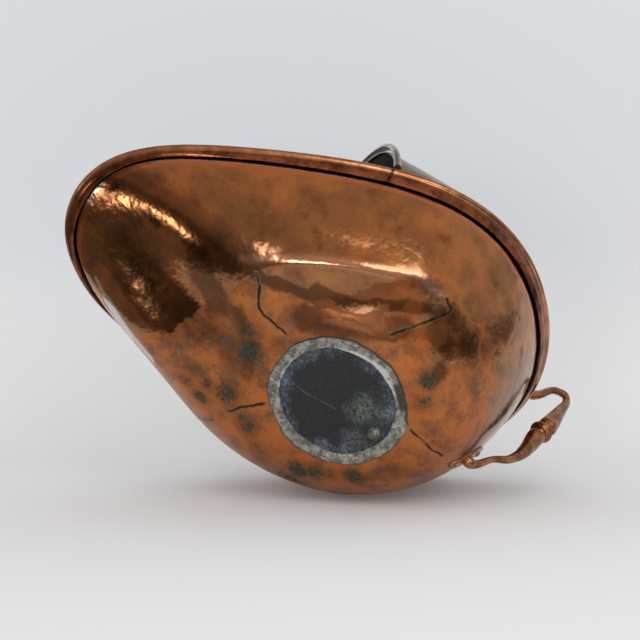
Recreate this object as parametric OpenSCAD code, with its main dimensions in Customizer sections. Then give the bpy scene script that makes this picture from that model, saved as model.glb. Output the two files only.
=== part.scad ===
// Copper helmet coal scuttle with a hood, a cast rear handle and a carrying handle.
// Millimetres. Origin: middle of the underside of the base ring, +Z up, +X to the rear
// handle, -X to the pouring lip.

/* [Mouth rim] */
// How far the rim reaches behind the middle of the base
rim_back = 150; // [135:1:180]
// How far the lip reaches in front of the middle of the base
rim_lip = 278; // [240:1:330]
// Half width of the mouth before its egg shaping
rim_half_w = 155; // [140:1:180]
// Height of the rim at the back
rim_back_z = 172; // [150:1:210]
// Height of the rim at the lip
rim_lip_z = 48; // [40:1:80]
// Sag of the rim below a straight line from lip to back
rim_sag = 8.6; // [0:0.2:16]
// Egg shape: how much wider the back half is
egg_wide = 0.336; // [0.2:0.01:0.4]
// Egg shape: how much the middle is drawn in
egg_waist = -0.04; // [-0.08:0.01:0.05]
// Egg shape: how blunt the lip is
egg_blunt = -0.26; // [-0.3:0.01:-0.1]
// How far a knock has pushed in the front part of the right side
flank_in = 7; // [0:0.5:9]

/* [Rim moulding] */
// Radius of the round bead
bead_r = 3.6; // [3:0.1:5]
// Thickness of the moulding's copper strip
strip_t = 0.8; // [0.6:0.1:1]
// Clearance between the skirt and the body under it
skirt_gap = 1.5; // [1:0.1:2.5]
// Angle from the back to the butt joint of the two lengths, beside the hood's mouth
joint_angle = 90; // [85:1:100]
// Half angle of the solder patch over each butt joint
patch_half = 0.8; // [0.5:0.1:1.5]
// Thickness of the solder patch
patch_t = 0.5; // [0.3:0.1:0.8]

/* [Body] */
// Thickness of the copper body sheet
sheet_t = 1.2; // [0.9:0.1:1.6]
// Radius at which the body leaves its flat bottom
base_r = 59; // [52:1:66]
// Height of the body's bottom above the underside of the base ring
base_rise = 2; // [1.5:0.1:4]
// How far the body's edge sits inside the outer face of the bead
edge_in = 7; // [6.8:0.1:9]
// How far the body's edge sits below the middle of the bead
edge_down = 3; // [2.6:0.1:4]
// Fullness of the belly at the sides
belly_side = 1.98; // [1.6:0.02:2.4]
// Fullness of the belly at the back
belly_back = 2.6; // [1.8:0.02:2.8]
// Fullness of the belly under the lip
belly_lip = 1.2; // [1.05:0.05:1.6]
// Extra fullness of the flanks between side and lip
belly_flank = 1; // [0:0.05:1.2]
// Extra fullness of the right flank, where the scuttle has lain and bulged
belly_right = 0.8; // [0:0.05:1]
// Steepness of the wall at the sides
wall_side = 1.5; // [1.2:0.05:2]
// Steepness of the wall at the back
wall_back = 1.5; // [1.1:0.05:2]
// Steepness of the wall under the lip
wall_lip = 1.0; // [0.9:0.05:1.4]

/* [Dent beside the base] */
// Depth of the hollow
dent_depth = 6; // [0:0.5:9]
// Height of the fold outside the hollow
fold_h = 2.4; // [0:0.2:4]
// Half length of the dent
dent_half_l = 82; // [60:1:90]
// Half width of the hollow
dent_half_w = 20; // [14:1:26]
// Distance of the dent's middle from the middle of the base
dent_out = 88; // [80:1:96]
// Direction of the dent's middle, from the back round towards the lip
dent_dir = 246; // [236:1:256]
// Distance of the fold from the dent's middle line
fold_out = 27; // [22:1:32]
// Half width of the fold
fold_half_w = 7; // [5:0.5:9]
// Width over which the dent fades out beside the flat bottom
dent_fade = 12; // [8:1:16]

/* [Base] */
// Width of the solder ring left by the foot
ring_w = 10.5; // [8:0.5:14]
// Width of the body's flange under the base plate
flange_w = 8.5; // [6:0.5:12]
// Radius of the base plate
plate_r = 56.5; // [54:0.5:58]
// Thickness of the base plate
plate_t = 2; // [1.5:0.1:3]

/* [Hood] */
// Angle from the back to the hood's mouth
hood_angle0 = 88; // [84:0.5:89]
// Height of the hood's mouth above the rim
hood_h = 155; // [140:1:180]
// Forward lean of the hood's mouth
hood_lean = 0.25; // [0.1:0.01:0.35]
// How steadily the hood's back slopes down
hood_slope = 1.2; // [0.9:0.05:1.6]
// Fullness of the hood's section at its mouth
hood_full = 2.05; // [1.8:0.05:2.3]
// Fullness of the hood's section behind its mouth
throat_full = 1.8; // [1.45:0.05:1.8]
// How quickly the section changes behind the mouth
throat_rate = 13; // [8:1:20]
// Thickness of the hood's sheet
hood_t = 0.9; // [0.7:0.1:1.2]
// Outer radius of the roll along the hood's mouth
roll_r = 3.1; // [2.8:0.1:4]

/* [Rear handle] */
// How far the handle reaches behind the rim
handle_reach = 34; // [31:0.5:37]
// Radius of the slim part of its arms
arm_r = 3.4; // [3:0.1:4]
// Radius of the knop in the middle of the grip
knop_r = 10.5; // [9:0.5:12]
// Length of the knop along the grip
knop_l = 15; // [13:0.5:18]
// Radius of the trumpet ends against the knop
trumpet_r = 8.8; // [7:0.2:9.5]
// Radius of the iron tie rod
rod_r = 2; // [1.5:0.1:2.5]
// Depth of the tie rod in each arm
rod_in = 14; // [10:1:18]
// Half height of the lower leaf plate
leaf_half_h = 30; // [22:1:36]
// Half width of the lower leaf plate
leaf_half_w = 11; // [8:0.5:14]
// Thickness of the leaf plates
leaf_t = 1.6; // [1.2:0.1:2.2]
// Place of the upper foot along the hood's ridge, 0 mouth to 1 back
root_place = 0.93; // [0.9:0.01:0.94]
// Lean of the handle to the right
handle_lean = 7; // [0:0.5:9]

/* [Top handle] */
// Distance between the feet of the top handle
top_span = 112; // [96:1:124]
// Rise of the grip above its feet
top_rise = 44; // [38:1:52]
// Place of the front foot along the hood's ridge, 0 mouth to 1 back
top_start = 0.1; // [0.06:0.01:0.2]

/* [Fits] */
// Clearance between parts that are soldered or wired together
seam_gap = 0.05; // [0.03:0.01:0.1]
// Clearance between rods or rivets and their holes
hole_gap = 0.1; // [0.05:0.05:0.2]
// Clearance between a leaf plate and the curved sheet under it
leaf_gap = 0.3; // [0.2:0.05:0.5]
// Radius of a rivet's shank
rivet_r = 1.8; // [1.5:0.1:2.2]
// Radius of a rivet's head
rivet_head_r = 3.4; // [2.8:0.1:4]

/* [Hidden] */

rim_mid = (rim_back - rim_lip)/2;
rim_half_l = (rim_back + rim_lip)/2;
flank_end = 145;      // the knocked part of the rim reaches from the side to this angle
around = 80;          // stations round the whole rim
up = 12;              // rows up the body's wall
hood_rows = 20;       // stations from the hood's mouth to its back
hood_cols = 22;       // points across the hood
hood_last = 14;       // angle of the hood's last station from the back
arc_points = 9;       // points on the moulding's bead
wire_sides = 8;
arm_sides = 12;
arm_steps = 3;        // rings between two control points of an arm
round_fn = 64;

// a smooth bump, 1 halfway between the angles a0 and a1 and 0 outside them
function bump(a, a0, a1) = a > a0 && a < a1 ? pow(sin(180*(a - a0)/(a1 - a0)), 2) : 0;

// ---- the rim's line -------------------------------------------------------------------
// a is the angle round the mouth: 0 at the back, 180 at the lip.
function rim_x(a) = rim_mid + rim_half_l*cos(a);
function rim_y(a) = rim_half_w*sin(a)
  *(1 + egg_wide*cos(a) + egg_waist*pow(cos(a), 2) + egg_blunt*pow(cos(a), 3))
  - flank_in*bump(a, 90, flank_end);
function along(x) = (x + rim_lip)/(2*rim_half_l);
function rim_z(x) = rim_lip_z + (rim_back_z - rim_lip_z)*along(x)
  - 4*rim_sag*along(x)*(1 - along(x));
function rim_point(a) = [rim_x(a), rim_y(a), rim_z(rim_x(a))];
function unit(v) = v/norm(v);
// horizontal direction that points out of the mouth, square to the rim's line
function rim_out(a) = let (d = rim_point(a + 0.5) - rim_point(a - 0.5)) unit([d.y, -d.x, 0]);
// a point of a section that is carried round the rim: n outwards, z up
function on_rim(a, p) = rim_point(a) + p.x*rim_out(a) + [0, 0, p.y];

// ---- solids from rings of points ------------------------------------------------------
function flat(list) = [for (row = list) each row];
function ring_faces(m, i, j) = [for (k = [0:m - 1])
  each [[j*m + (k + 1)%m, j*m + k, i*m + k], [i*m + (k + 1)%m, j*m + (k + 1)%m, i*m + k]]];
// an end closed by strips between its first and last points, its second and last but one...
function cap_faces(m) = [for (k = [0:floor((m - 3)/2)])
  each concat([[k, k + 1, m - 1 - k]], m - 2 - k > k + 1 ? [[k + 1, m - 2 - k, m - 1 - k]] : [])];
// rings: lists of as many points each; looped ones close on themselves, others get end caps
module loft(rings, looped = false) {
  n = len(rings);
  m = len(rings[0]);
  sides = [for (i = [0:n - (looped ? 1 : 2)]) each ring_faces(m, i, (i + 1)%n)];
  caps = looped ? [] : [for (f = cap_faces(m)) each [[f[2], f[1], f[0]],
    [(n - 1)*m + f[0], (n - 1)*m + f[1], (n - 1)*m + f[2]]]];
  polyhedron(points = flat(rings), faces = concat(sides, caps));
}
// a section carried round the rim from angle a0 to a1
module rim_sweep(section, a0, a1, steps, looped = false)
  loft([for (i = [0:steps - (looped ? 1 : 0)])
    let (a = a0 + (a1 - a0)*i/steps) [for (p = section) on_rim(a, p)]], looped);

// a smooth curve through control points, each with its radius as fourth number
function between(a, b, c, d, t) = 0.5*((2*b) + (c - a)*t
  + (2*a - 5*b + 4*c - d)*t*t + (3*b - a - 3*c + d)*t*t*t);
function smooth(p) = let (n = len(p)) concat(
  [for (i = [0:n - 2], s = [0:arm_steps - 1])
    between(p[max(i - 1, 0)], p[i], p[i + 1], p[min(i + 2, n - 1)], s/arm_steps)],
  [p[n - 1]]);
// round bar along a curve in the XZ plane; each point is [x, z, radius]
module bar(p) {
  c = smooth(p);
  n = len(c);
  loft([for (i = [0:n - 1])
    let (d = c[min(i + 1, n - 1)] - c[max(i - 1, 0)],
         t = unit([d.x, 0, d.y]),
         side = [-t.z, 0, t.x])
    [for (k = [0:arm_sides - 1]) let (w = 360*k/arm_sides)
      [c[i].x, 0, c[i].y] + c[i].z*(cos(w)*side + sin(w)*[0, 1, 0])]]);
}
// turns a part made along +Z so that it runs from p towards q in the XZ plane
module aim(p, q) translate([p.x, 0, p.y]) rotate([0, atan2(q.x - p.x, q.y - p.y), 0]) children();

// ---- body -----------------------------------------------------------------------------
// displacement of the dent: a hollow beside the base with a raised fold outside it
dent_mid = dent_out*[cos(dent_dir), sin(dent_dir)];
dent_axis = [-sin(dent_dir), cos(dent_dir)];
function dent(x, y) =
  let (u = ([x, y] - dent_mid)*dent_axis/dent_half_l,
       v = ([x, y] - dent_mid)*[cos(dent_dir), sin(dent_dir)],
       ends = pow(max(0, 1 - u*u), 1.5),
       clear = min(1, max(0, (norm([x, y]) - 1.017*base_r)/dent_fade)))
  ends*clear*(dent_depth*exp(-pow(v/dent_half_w, 2))
    - (fold_h + dent_depth*exp(-pow(fold_out/dent_half_w, 2)))
      *exp(-pow((v - fold_out*(1 - 0.45*u*u))/fold_half_w, 2)));

function belly(a) = let (c = cos(a)) belly_side
  + (belly_back - belly_side)*pow(max(c, 0), 4)
  + (c < 0 ? (belly_lip - belly_side)*c*c + belly_flank*pow(sin(2*a), 2) : 0)
  + belly_right*bump(a, 65, 160);
function wall(a) = let (c = cos(a)) wall_side
  + (wall_back - wall_side)*pow(max(c, 0), 4) + (c < 0 ? (wall_lip - wall_side)*c*c : 0);
// outer face of the body: t is 0 at the base and 1 at the edge
function body_out(a, t) =
  let (e = on_rim(a, [-edge_in, -edge_down]),
       b = base_r*unit([e.x, e.y]),
       s = pow(sin(90*t), 2/belly(a)),
       v = 1 - pow(cos(90*t), 2/wall(a)),
       x = b.x + (e.x - b.x)*s,
       y = b.y + (e.y - b.y)*s)
  [x, y, base_rise + (e.z - base_rise)*v + dent(x, y)];
function body_normal(a, t) =
  let (du = body_out(a + 1, t) - body_out(a - 1, t),
       dt = body_out(a, min(t + 0.02, 1)) - body_out(a, max(t - 0.02, 0.02)))
  t < 0.03 ? [0, 0, -1] : unit(cross(du, dt));
function row_t(j) = j/up;
function body_offset(a, t, off) = body_out(a, t) + off*body_normal(a, t);
function flange_point(a, z) = let (b = (base_r - flange_w)*unit([body_out(a, 0).x, body_out(a, 0).y]))
  [b.x, b.y, z];

module body_shell() {
  color("#b3673a")
    loft([for (i = [0:around - 1]) let (a = 360*i/around) concat(
      [flange_point(a, base_rise)],
      [for (j = [0:up]) body_offset(a, row_t(j), 0)],
      [for (j = [up:-1:0]) body_offset(a, row_t(j), -sheet_t)],
      [flange_point(a, base_rise + sheet_t)])], true);
}

module base_plate() {
  color("#33363a")
    translate([0, 0, base_rise + sheet_t]) cylinder(r = plate_r, h = plate_t, $fn = round_fn);
}

// flat underside with rounded edges, and a lip that fills the corner under the base plate
module base_solder_ring() {
  inner = base_r - ring_w;
  lip = base_r - flange_w - hole_gap;
  edge = base_rise/2;
  color("#9a9a94") rotate_extrude($fn = round_fn) polygon([
    [inner + edge, 0], [base_r - edge, 0], [base_r, edge], [base_r, base_rise],
    [lip, base_rise], [lip, base_rise + sheet_t], [inner, base_rise + sheet_t], [inner, edge]]);
}

// ---- rim moulding ---------------------------------------------------------------------
bead_in = bead_r - strip_t;
wire_r = bead_in - 2*seam_gap;
bead_start = -65;     // where the bead runs into the skirt
bead_end = 235;       // where the bead's strip ends, inside
function bead_at(r, w) = [-bead_r + r*cos(w), r*sin(w)];
function bead_angle(k) = bead_start + (bead_end - bead_start)*k/(arc_points - 1);
// The skirt runs from the bead down along the body's wall, a little clear of it. Points of its
// section are [outwards, up] from the rim's line.
skirt_top = [-0.72*bead_r, -1.28*bead_r];
function skirt_t(a) = 0.88 + 0.035*pow(max(cos(a), 0), 2);
function skirt_foot(a) = let (d = body_offset(a, skirt_t(a), skirt_gap + strip_t) - rim_point(a))
  [d*rim_out(a), d.z];
// k is 0 at the skirt's top and 1 at its foot, off is the height above its outer face
function skirt_point(a, k, off) =
  let (foot = skirt_foot(a), w = unit(foot - skirt_top))
  skirt_top + k*(foot - skirt_top) + off*[-w.y, w.x];
bead_ks = [0:arc_points - 1];
function moulding(a) = concat(
  [skirt_point(a, 1, 0), skirt_point(a, 0, 0)],
  [for (k = bead_ks) bead_at(bead_r, bead_angle(k))],
  [for (k = bead_ks) bead_at(bead_in, bead_angle(arc_points - 1 - k))],
  [skirt_point(a, 0, -strip_t), skirt_point(a, 1, -strip_t)]);
module moulding_length(a0, a1) color("#b8693c") loft([for (i = [0:around/2])
  let (a = a0 + (a1 - a0)*i/(around/2)) [for (p = moulding(a)) on_rim(a, p)]]);

module rim_moulding_front() moulding_length(joint_angle, 360 - joint_angle);

module rim_moulding_rear() moulding_length(-joint_angle, joint_angle);

module rim_wire()
  color("#4a4644") rim_sweep([for (k = [0:wire_sides - 1])
    bead_at(wire_r, 360*(k + 0.5)/wire_sides)], 0, 360, around, true);

// solder between the bead and the body's edge
module rim_seam_solder()
  color("#8f8d86") rim_sweep([
    bead_at(bead_r + seam_gap, 245), bead_at(bead_r + seam_gap, 208),
    [-edge_in + seam_gap, -edge_down], [-edge_in + 2*seam_gap, -edge_down - 1]],
    0, 360, around, true);

// solder patch over each butt joint of the moulding, on the skirt
module rim_joint_solder()
  color("#a3a19a") for (side = [-1, 1])
    loft([for (i = [-1:1]) let (a = side*joint_angle + i*patch_half)
      [for (p = [[0.88, seam_gap], [0.88, seam_gap + patch_t],
          [0.08, seam_gap + patch_t], [0.08, seam_gap]])
        on_rim(a, skirt_point(a, p.x, p.y))]]);

// ---- hood -----------------------------------------------------------------------------
hood_in = edge_in + 0.35;
foot_z = -edge_down + 2*seam_gap;
function foot(a) = on_rim(a, [-hood_in, foot_z]);
hood_x0 = foot(hood_angle0).x;
hood_x1 = foot(0).x;
function hood_s(a) = (foot(a).x - hood_x0)/(hood_x1 - hood_x0);
function hood_height(s) = hood_h*pow(max(0, 1 - pow(s, 1.5)), hood_slope);
function power(v, e) = sign(v)*pow(abs(v), e);
// outer face of the hood: a from hood_angle0 at the mouth to 0 at the back, u 0 to 180 across
function hood_out(a, u) =
  let (f = foot(a),
       s = max(0, hood_s(a)),
       e = 2/(throat_full + (hood_full - throat_full)*pow(1 - s, throat_rate)),
       h = hood_height(s)*pow(max(0, sin(u)), e))
  [f.x - hood_lean*h*(1 - s), -f.y*power(cos(u), e), f.z + h];
function hood_normal(a, u) =
  let (lo = max(u - 3, 0), hi = min(u + 3, 180),
       du = hood_out(a, hi) - hood_out(a, lo),
       da = hood_out(max(a - 1.5, 0.5), u) - hood_out(min(a + 1.5, hood_angle0), u))
  unit(cross(da, du));
function hood_offset(a, u, off) = hood_out(a, u) + off*hood_normal(a, u);
function hood_angle(i) = hood_angle0 + (hood_last - hood_angle0)*pow(i/hood_rows, 1.3);

// inner face: the same section, drawn in by the sheet's thickness
function hood_inner(a, u) =
  let (f = on_rim(a, [-hood_in - hood_t, foot_z]),
       s = max(0, hood_s(a)),
       e = 2/(throat_full + (hood_full - throat_full)*pow(1 - s, throat_rate)),
       h = (hood_height(s) - hood_t)*pow(max(0, sin(u)), e))
  [f.x - hood_lean*h*(1 - s), -f.y*power(cos(u), e), f.z + h];
// behind the last station the sheet runs down flat onto the rim
function hood_tail(u, n, z) = on_rim(-(hood_last - 1)*power(cos(u), 1.1), [n, z]);

module hood_sheet() {
  color("#a08578") difference() {
    loft(concat(
      [for (i = [0:hood_rows]) let (a = hood_angle(i)) concat(
        [for (k = [0:hood_cols]) hood_out(a, 180*k/hood_cols)],
        [for (k = [hood_cols:-1:0]) hood_inner(a, 180*k/hood_cols)])],
      [concat(
        [for (k = [0:hood_cols]) hood_tail(180*k/hood_cols, -hood_in, foot_z + 1.3*hood_t)],
        [for (k = [hood_cols:-1:0])
          hood_tail(180*k/hood_cols, -hood_in - 0.4*hood_t, foot_z + 0.3*hood_t)])]));
    for (place = concat(top_rivet_places, [[root_place, -leaf_rivet], [root_place, leaf_rivet]]))
      ridge_rivet(place[0], place[1]) rivet_hole();
  }
}

// frame of the mouth's edge: forwards out of the hood, and square to the sheet
function edge_dir(u) = unit(cross(
  hood_out(hood_angle0, min(u + 2, 180)) - hood_out(hood_angle0, max(u - 2, 0)),
  hood_normal(hood_angle0, u)));
roll_in = roll_r - hood_t;
roll_wire_r = roll_in - 2*seam_gap;
roll_gap = 0.3;       // the roll's facets stay clear of the curved sheet
roll_clear = asin((bead_r - foot_z + 1)/hood_h);  // where the roll ends above the rim
// the roll's stations: its two ends, and between them the sheet's own columns
roll_us = concat([roll_clear], [for (k = [0:hood_cols]) let (u = 180*k/hood_cols)
  if (u > roll_clear + 1 && u < 179 - roll_clear) u], [180 - roll_clear]);
function edge_point(u, p) = hood_out(hood_angle0, u)
  + (p.x - roll_r)*edge_dir(u) + (p.y + roll_r + roll_gap)*hood_normal(hood_angle0, u);
function roll_angle(k) = -100 + 300*k/arc_points;
roll_section = concat(
  [for (k = [0:arc_points]) roll_r*[cos(roll_angle(k)), sin(roll_angle(k))]],
  [for (k = [arc_points:-1:0]) roll_in*[cos(roll_angle(k)), sin(roll_angle(k))]]);

module hood_edge_roll()
  color("#a59088") loft([for (u = roll_us) [for (p = roll_section) edge_point(u, p)]]);

module hood_edge_wire()
  color("#4a4644") loft([for (u = roll_us)
    [for (k = [0:wire_sides - 1]) let (w = 360*(k + 0.5)/wire_sides)
      edge_point(u, roll_wire_r*[cos(w), sin(w)])]]);

// solder along the inside of the hood's foot
module hood_seam_solder()
  color("#8f8d86") rim_sweep([
    [-hood_in - hood_t - seam_gap, 1.4], [-hood_in - hood_t - 1.4, -1.6],
    [-hood_in - hood_t - seam_gap, -edge_down - seam_gap]],
    1 - hood_angle0, hood_angle0 - 1, around/2);

// ---- rear handle ----------------------------------------------------------------------
// The handle stands in a plane that leans a little to the right about its upper foot.
pivot_z = rim_back_z - 7;
module lean() translate([0, 0, pivot_z]) rotate([handle_lean, 0, 0]) translate([0, 0, -pivot_z])
  children();
// from the frame of the part to the handle's own plane, as [x, z]
function in_plane(p) = [p.x, pivot_z - p.y*sin(handle_lean) + (p.z - pivot_z)*cos(handle_lean)];
function off_plane(p) = p.y*cos(handle_lean) + (p.z - pivot_z)*sin(handle_lean);
// the lower leaf sits on the body where the handle's plane meets it
leaf_mid_t = 0.47;
function find_leaf(lo, hi, n = 20) = let (m = (lo + hi)/2)
  n == 0 ? m : off_plane(body_out(m, leaf_mid_t)) > 0 ? find_leaf(lo, m, n - 1)
    : find_leaf(m, hi, n - 1);
leaf_a = find_leaf(-20, 20);
leaf_mid = in_plane(body_offset(leaf_a, leaf_mid_t, leaf_gap + 0.5*leaf_t));
leaf_out = in_plane(body_offset(leaf_a, leaf_mid_t, leaf_gap + 0.5*leaf_t + 1));
leaf_n = unit(leaf_out - leaf_mid);
root_mid = ridge(root_place, leaf_gap + 0.5*leaf_t);
root_n = hood_normal(ridge_angle(root_place), 90);
reach = handle_reach/34;     // its curves are drawn for a reach of 34 mm
thick = arm_r/3.4;           // and for arms of radius 3.4 mm
// a control point of an arm, from the middle of the rim's back: x, z and radius
function arm_point(x, z, r) = [rim_back + reach*x, rim_back_z + reach*z, thick*r];
knop_at = [rim_back + 22*reach, rim_back_z - 28*reach];
knop_dir = unit([0.27, 0.96]);
function from_knop(d) = knop_at + d*knop_dir;
upper_end = from_knop(knop_l/2 + seam_gap);
upper_bell = from_knop(knop_l/2 + 6);
lower_end = from_knop(-knop_l/2 - seam_gap);
lower_bell = from_knop(-knop_l/2 - 5);
function root_point(d) = [root_mid.x + d*reach*root_n.x, root_mid.z + d*reach*root_n.z];
function leaf_out_point(d) = leaf_mid + d*reach*leaf_n;
upper_curve = [
  [root_mid.x, root_mid.z, 5.6*thick], [root_point(4).x, root_point(4).y, 4.9*thick],
  [root_mid.x + 9*reach, root_mid.z + 10.5*reach, 4.5*thick],
  arm_point(-6, 12.6, 4.4), arm_point(0.6, 11.6, 4.6), arm_point(4.8, 14.6, 4.3),
  arm_point(9.6, 20.8, 3.9), arm_point(15, 31, 3.5), arm_point(21, 37.2, 3.4),
  arm_point(30.2, 38.8, 3.6), arm_point(34, 30, 3.7), arm_point(31.5, 14.5, 5.4),
  arm_point(29, 0.3, 7.1), [upper_bell.x + 0.4, upper_bell.y, trumpet_r],
  [upper_end.x, upper_end.y, trumpet_r - 1.4]];
lower_curve = [
  [lower_end.x, lower_end.y, trumpet_r - 1.6], [lower_bell.x, lower_bell.y, trumpet_r - 0.7],
  arm_point(16.5, -53.6, 7), arm_point(13.7, -66, 5.7), arm_point(9.8, -76, 4.5),
  arm_point(3, -87, 3.6), arm_point(-8.5, -97.2, 2.9),
  [leaf_mid.x + 10*reach, leaf_mid.y + 2.5*reach, 3.6*thick],
  [leaf_out_point(4.5).x, leaf_out_point(4.5).y, 4.8*thick], [leaf_mid.x, leaf_mid.y, 5.4*thick]];

// turned knop: a round belly between two fine rings
module knop(r, l, end_r) {
  ring_l = l*0.18;
  color("#a5653f") rotate_extrude($fn = round_fn) difference() {
    union() {
      intersection() {
        translate([0, 0]) scale([1, 0.42]) circle(r = r, $fn = 48);
        translate([0, -l/2]) square([r, l]);
      }
      for (s = [-1, 1]) translate([0, s*(l/2 - ring_l/2)]) {
        translate([0, -ring_l/2]) square([end_r - ring_l/2, ring_l]);
        translate([end_r - ring_l/2, 0]) circle(d = ring_l, $fn = 24);
      }
      translate([0, -l/2]) square([end_r*0.72, l]);
    }
    translate([-2*r, -l]) square([2*r + rod_r + hole_gap, 2*l]);
  }
}

module rod(l) color("#4a4644") translate([0, 0, -l/2]) cylinder(r = rod_r, h = l, $fn = 32);
module rod_hole(l) translate([0, 0, -l/2]) cylinder(r = rod_r + hole_gap, h = l, $fn = 32);
rod_l = knop_l + 2*rod_in;
knop_end_r = trumpet_r - 1.6;

// pointed leaf shape: half width at v, which runs from -1 to 1 along the leaf
leaf_steps = 10;
function leaf_shape(v) = max(0.03, pow(max(0, 1 - v*v), 0.8));
// leaf on the body's wall, cast in one with the lower arm; its rows run up the wall
leaf_rise = norm(body_out(leaf_a, leaf_mid_t + 0.05) - body_out(leaf_a, leaf_mid_t - 0.05))/0.1;
leaf_turn = norm(body_out(leaf_a + 1, leaf_mid_t) - body_out(leaf_a - 1, leaf_mid_t))/2;
function leaf_place(v) = leaf_mid_t + v*leaf_half_h/leaf_rise;
function leaf_point(v, w, off) =
  body_offset(leaf_a + w*leaf_half_w*leaf_shape(v)/leaf_turn, leaf_place(v), off);
module body_leaf()
  loft([for (i = [0:leaf_steps]) let (v = 2*i/leaf_steps - 1) concat(
    [for (w = [-1:0.5:1]) leaf_point(v, w, leaf_gap)],
    [for (w = [1:-0.5:-1]) leaf_point(v, w, leaf_gap + leaf_t)])]);

module rear_rod_hole() lean() aim(knop_at, from_knop(1)) rod_hole(rod_l + 2*hole_gap);

module rear_handle_upper_arm()
  color("#a5653f") difference() {
    union() {
      lean() bar(upper_curve);
      top_leaf(root_place);
    }
    rear_rod_hole();
    for (v = [-leaf_rivet, leaf_rivet]) ridge_rivet(root_place, v) rivet_hole();
  }

module rear_handle_lower_arm()
  color("#a5653f") difference() {
    union() {
      lean() bar(lower_curve);
      body_leaf();
    }
    rear_rod_hole();
    for (v = [-leaf_rivet, leaf_rivet]) body_rivet(v) rivet_hole();
  }

module rear_handle_knop() lean() aim(knop_at, from_knop(1)) knop(knop_r, knop_l, knop_end_r);

module rear_handle_tie_rod() lean() aim(knop_at, from_knop(1)) rod(rod_l);

leaf_rivet = 0.6;     // place of the rivets along the leaf's half height
module stand_on(p, n) translate(p) rotate([0, acos(n.z), atan2(n.y, n.x)]) children();
module body_rivet(v)
  stand_on(leaf_point(v, 0, leaf_gap + leaf_t), body_normal(leaf_a, leaf_place(v))) children();
rivet_grip = leaf_t + leaf_gap - hole_gap;    // the shank stops on the sheet's outer face
module rivet_hole() translate([0, 0, -4]) cylinder(r = rivet_r + hole_gap, h = 8, $fn = 24);
// domed head with its shank in the leaf's hole
module rivet() {
  rotate_extrude($fn = 32) intersection() {
    translate([0, -rivet_head_r*0.55 + 0.05]) circle(r = rivet_head_r*1.14, $fn = 48);
    translate([0, 0.05]) square([rivet_head_r, rivet_head_r]);
  }
  translate([0, 0, -rivet_grip]) cylinder(r = rivet_r, h = rivet_grip + 0.1, $fn = 24);
}

module rear_handle_rivets()
  color("#ad6b43") for (v = [-leaf_rivet, leaf_rivet]) {
    body_rivet(v) rivet();
    ridge_rivet(root_place, v) through_rivet();
  }

// ---- top handle -----------------------------------------------------------------------
// the ridge of the hood in the plane of symmetry, s from 0 at the mouth to 1 at the back
function ridge_angle(s, lo = 0, hi = hood_angle0, n = 24) = let (m = (lo + hi)/2)
  n == 0 ? m : hood_s(m) > s ? ridge_angle(s, m, hi, n - 1) : ridge_angle(s, lo, m, n - 1);
function ridge(s, off) = hood_offset(ridge_angle(s), 90, off);
foot_off = leaf_gap + 0.5*leaf_t;
front_foot = ridge(top_start, foot_off);
// the rear foot lies the given distance further along the ridge
function find_foot(lo, hi, n = 24) = let (m = (lo + hi)/2, p = ridge(m, foot_off))
  n == 0 ? m : norm(p - front_foot) > top_span ? find_foot(lo, m, n - 1) : find_foot(m, hi, n - 1);
top_end = find_foot(top_start, 0.95);
rear_foot = ridge(top_end, foot_off);
top_dir = unit([rear_foot.x - front_foot.x, rear_foot.z - front_foot.z]);
top_up = [-top_dir.y, top_dir.x];
function top_at(d, h) = [front_foot.x, front_foot.z] + d*top_dir + h*top_up;
top_knop_at = top_at(top_span/2, top_rise);
top_knop_l = 15;
top_trumpet = trumpet_r - 0.6;
rise = top_rise/44;          // its curves are drawn for a rise of 44 mm
function arm_curve(end, way, foot_n) = let (
    b = [end.x, end.z],
    n = rise*[foot_n.x, foot_n.z],
    d = way*rise*top_dir,
    j = top_knop_at - way*(top_knop_l/2 + seam_gap)*top_dir)
  [for (p = [[b, 4.6*thick], [b + 2.5*n, 5*thick], [b + 7*n, 4.2*thick],
      [b + 18*n - 3*d, 3.4*thick], [b + 32*n + 2*d, 3.6*thick],
      [j - 24*d - 0.5*rise*top_up, 4.6*thick], [j - 11*d, 6.8*thick],
      [j - 3.5*d, top_trumpet], [j, top_trumpet - 1.2]])
    [p[0].x, p[0].y, p[1]]];

module top_rod_hole()
  aim(top_knop_at, top_knop_at + top_dir) rod_hole(top_knop_l + 2*rod_in + 2*hole_gap);

// leaf under a foot, drawn across the ridge and cast in one with its arm
top_leaf_half_w = 20;
top_leaf_half_l = 9;
function ridge_leaf(s, v, w, off) =
  let (a = ridge_angle(s),
       da = norm(hood_out(a + 0.5, 90) - hood_out(a - 0.5, 90)),
       du = norm(hood_out(a, 92) - hood_out(a, 88))/4)
  hood_offset(a + w*top_leaf_half_l*leaf_shape(v)/da, 90 + v*top_leaf_half_w/du, off);
module top_leaf(s)
  loft([for (i = [0:leaf_steps]) let (v = 2*i/leaf_steps - 1) concat(
    [for (w = [1:-0.5:-1]) ridge_leaf(s, v, w, leaf_gap)],
    [for (w = [-1:0.5:1]) ridge_leaf(s, v, w, leaf_gap + leaf_t)])]);

module top_arm(curve, s)
  color("#a5653f") difference() {
    union() {
      bar(curve);
      top_leaf(s);
    }
    top_rod_hole();
    for (v = [-leaf_rivet, leaf_rivet]) ridge_rivet(s, v) rivet_hole();
  }

module top_handle_front_arm()
  top_arm(arm_curve(front_foot, 1, hood_normal(ridge_angle(top_start), 90)), top_start);

module top_handle_rear_arm()
  top_arm(arm_curve(rear_foot, -1, hood_normal(ridge_angle(top_end), 90)), top_end);

module top_handle_knop()
  aim(top_knop_at, top_knop_at + top_dir) knop(knop_r - 1, top_knop_l, top_trumpet - 1.4);

module top_handle_tie_rod()
  aim(top_knop_at, top_knop_at + top_dir) rod(top_knop_l + 2*rod_in);

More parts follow.
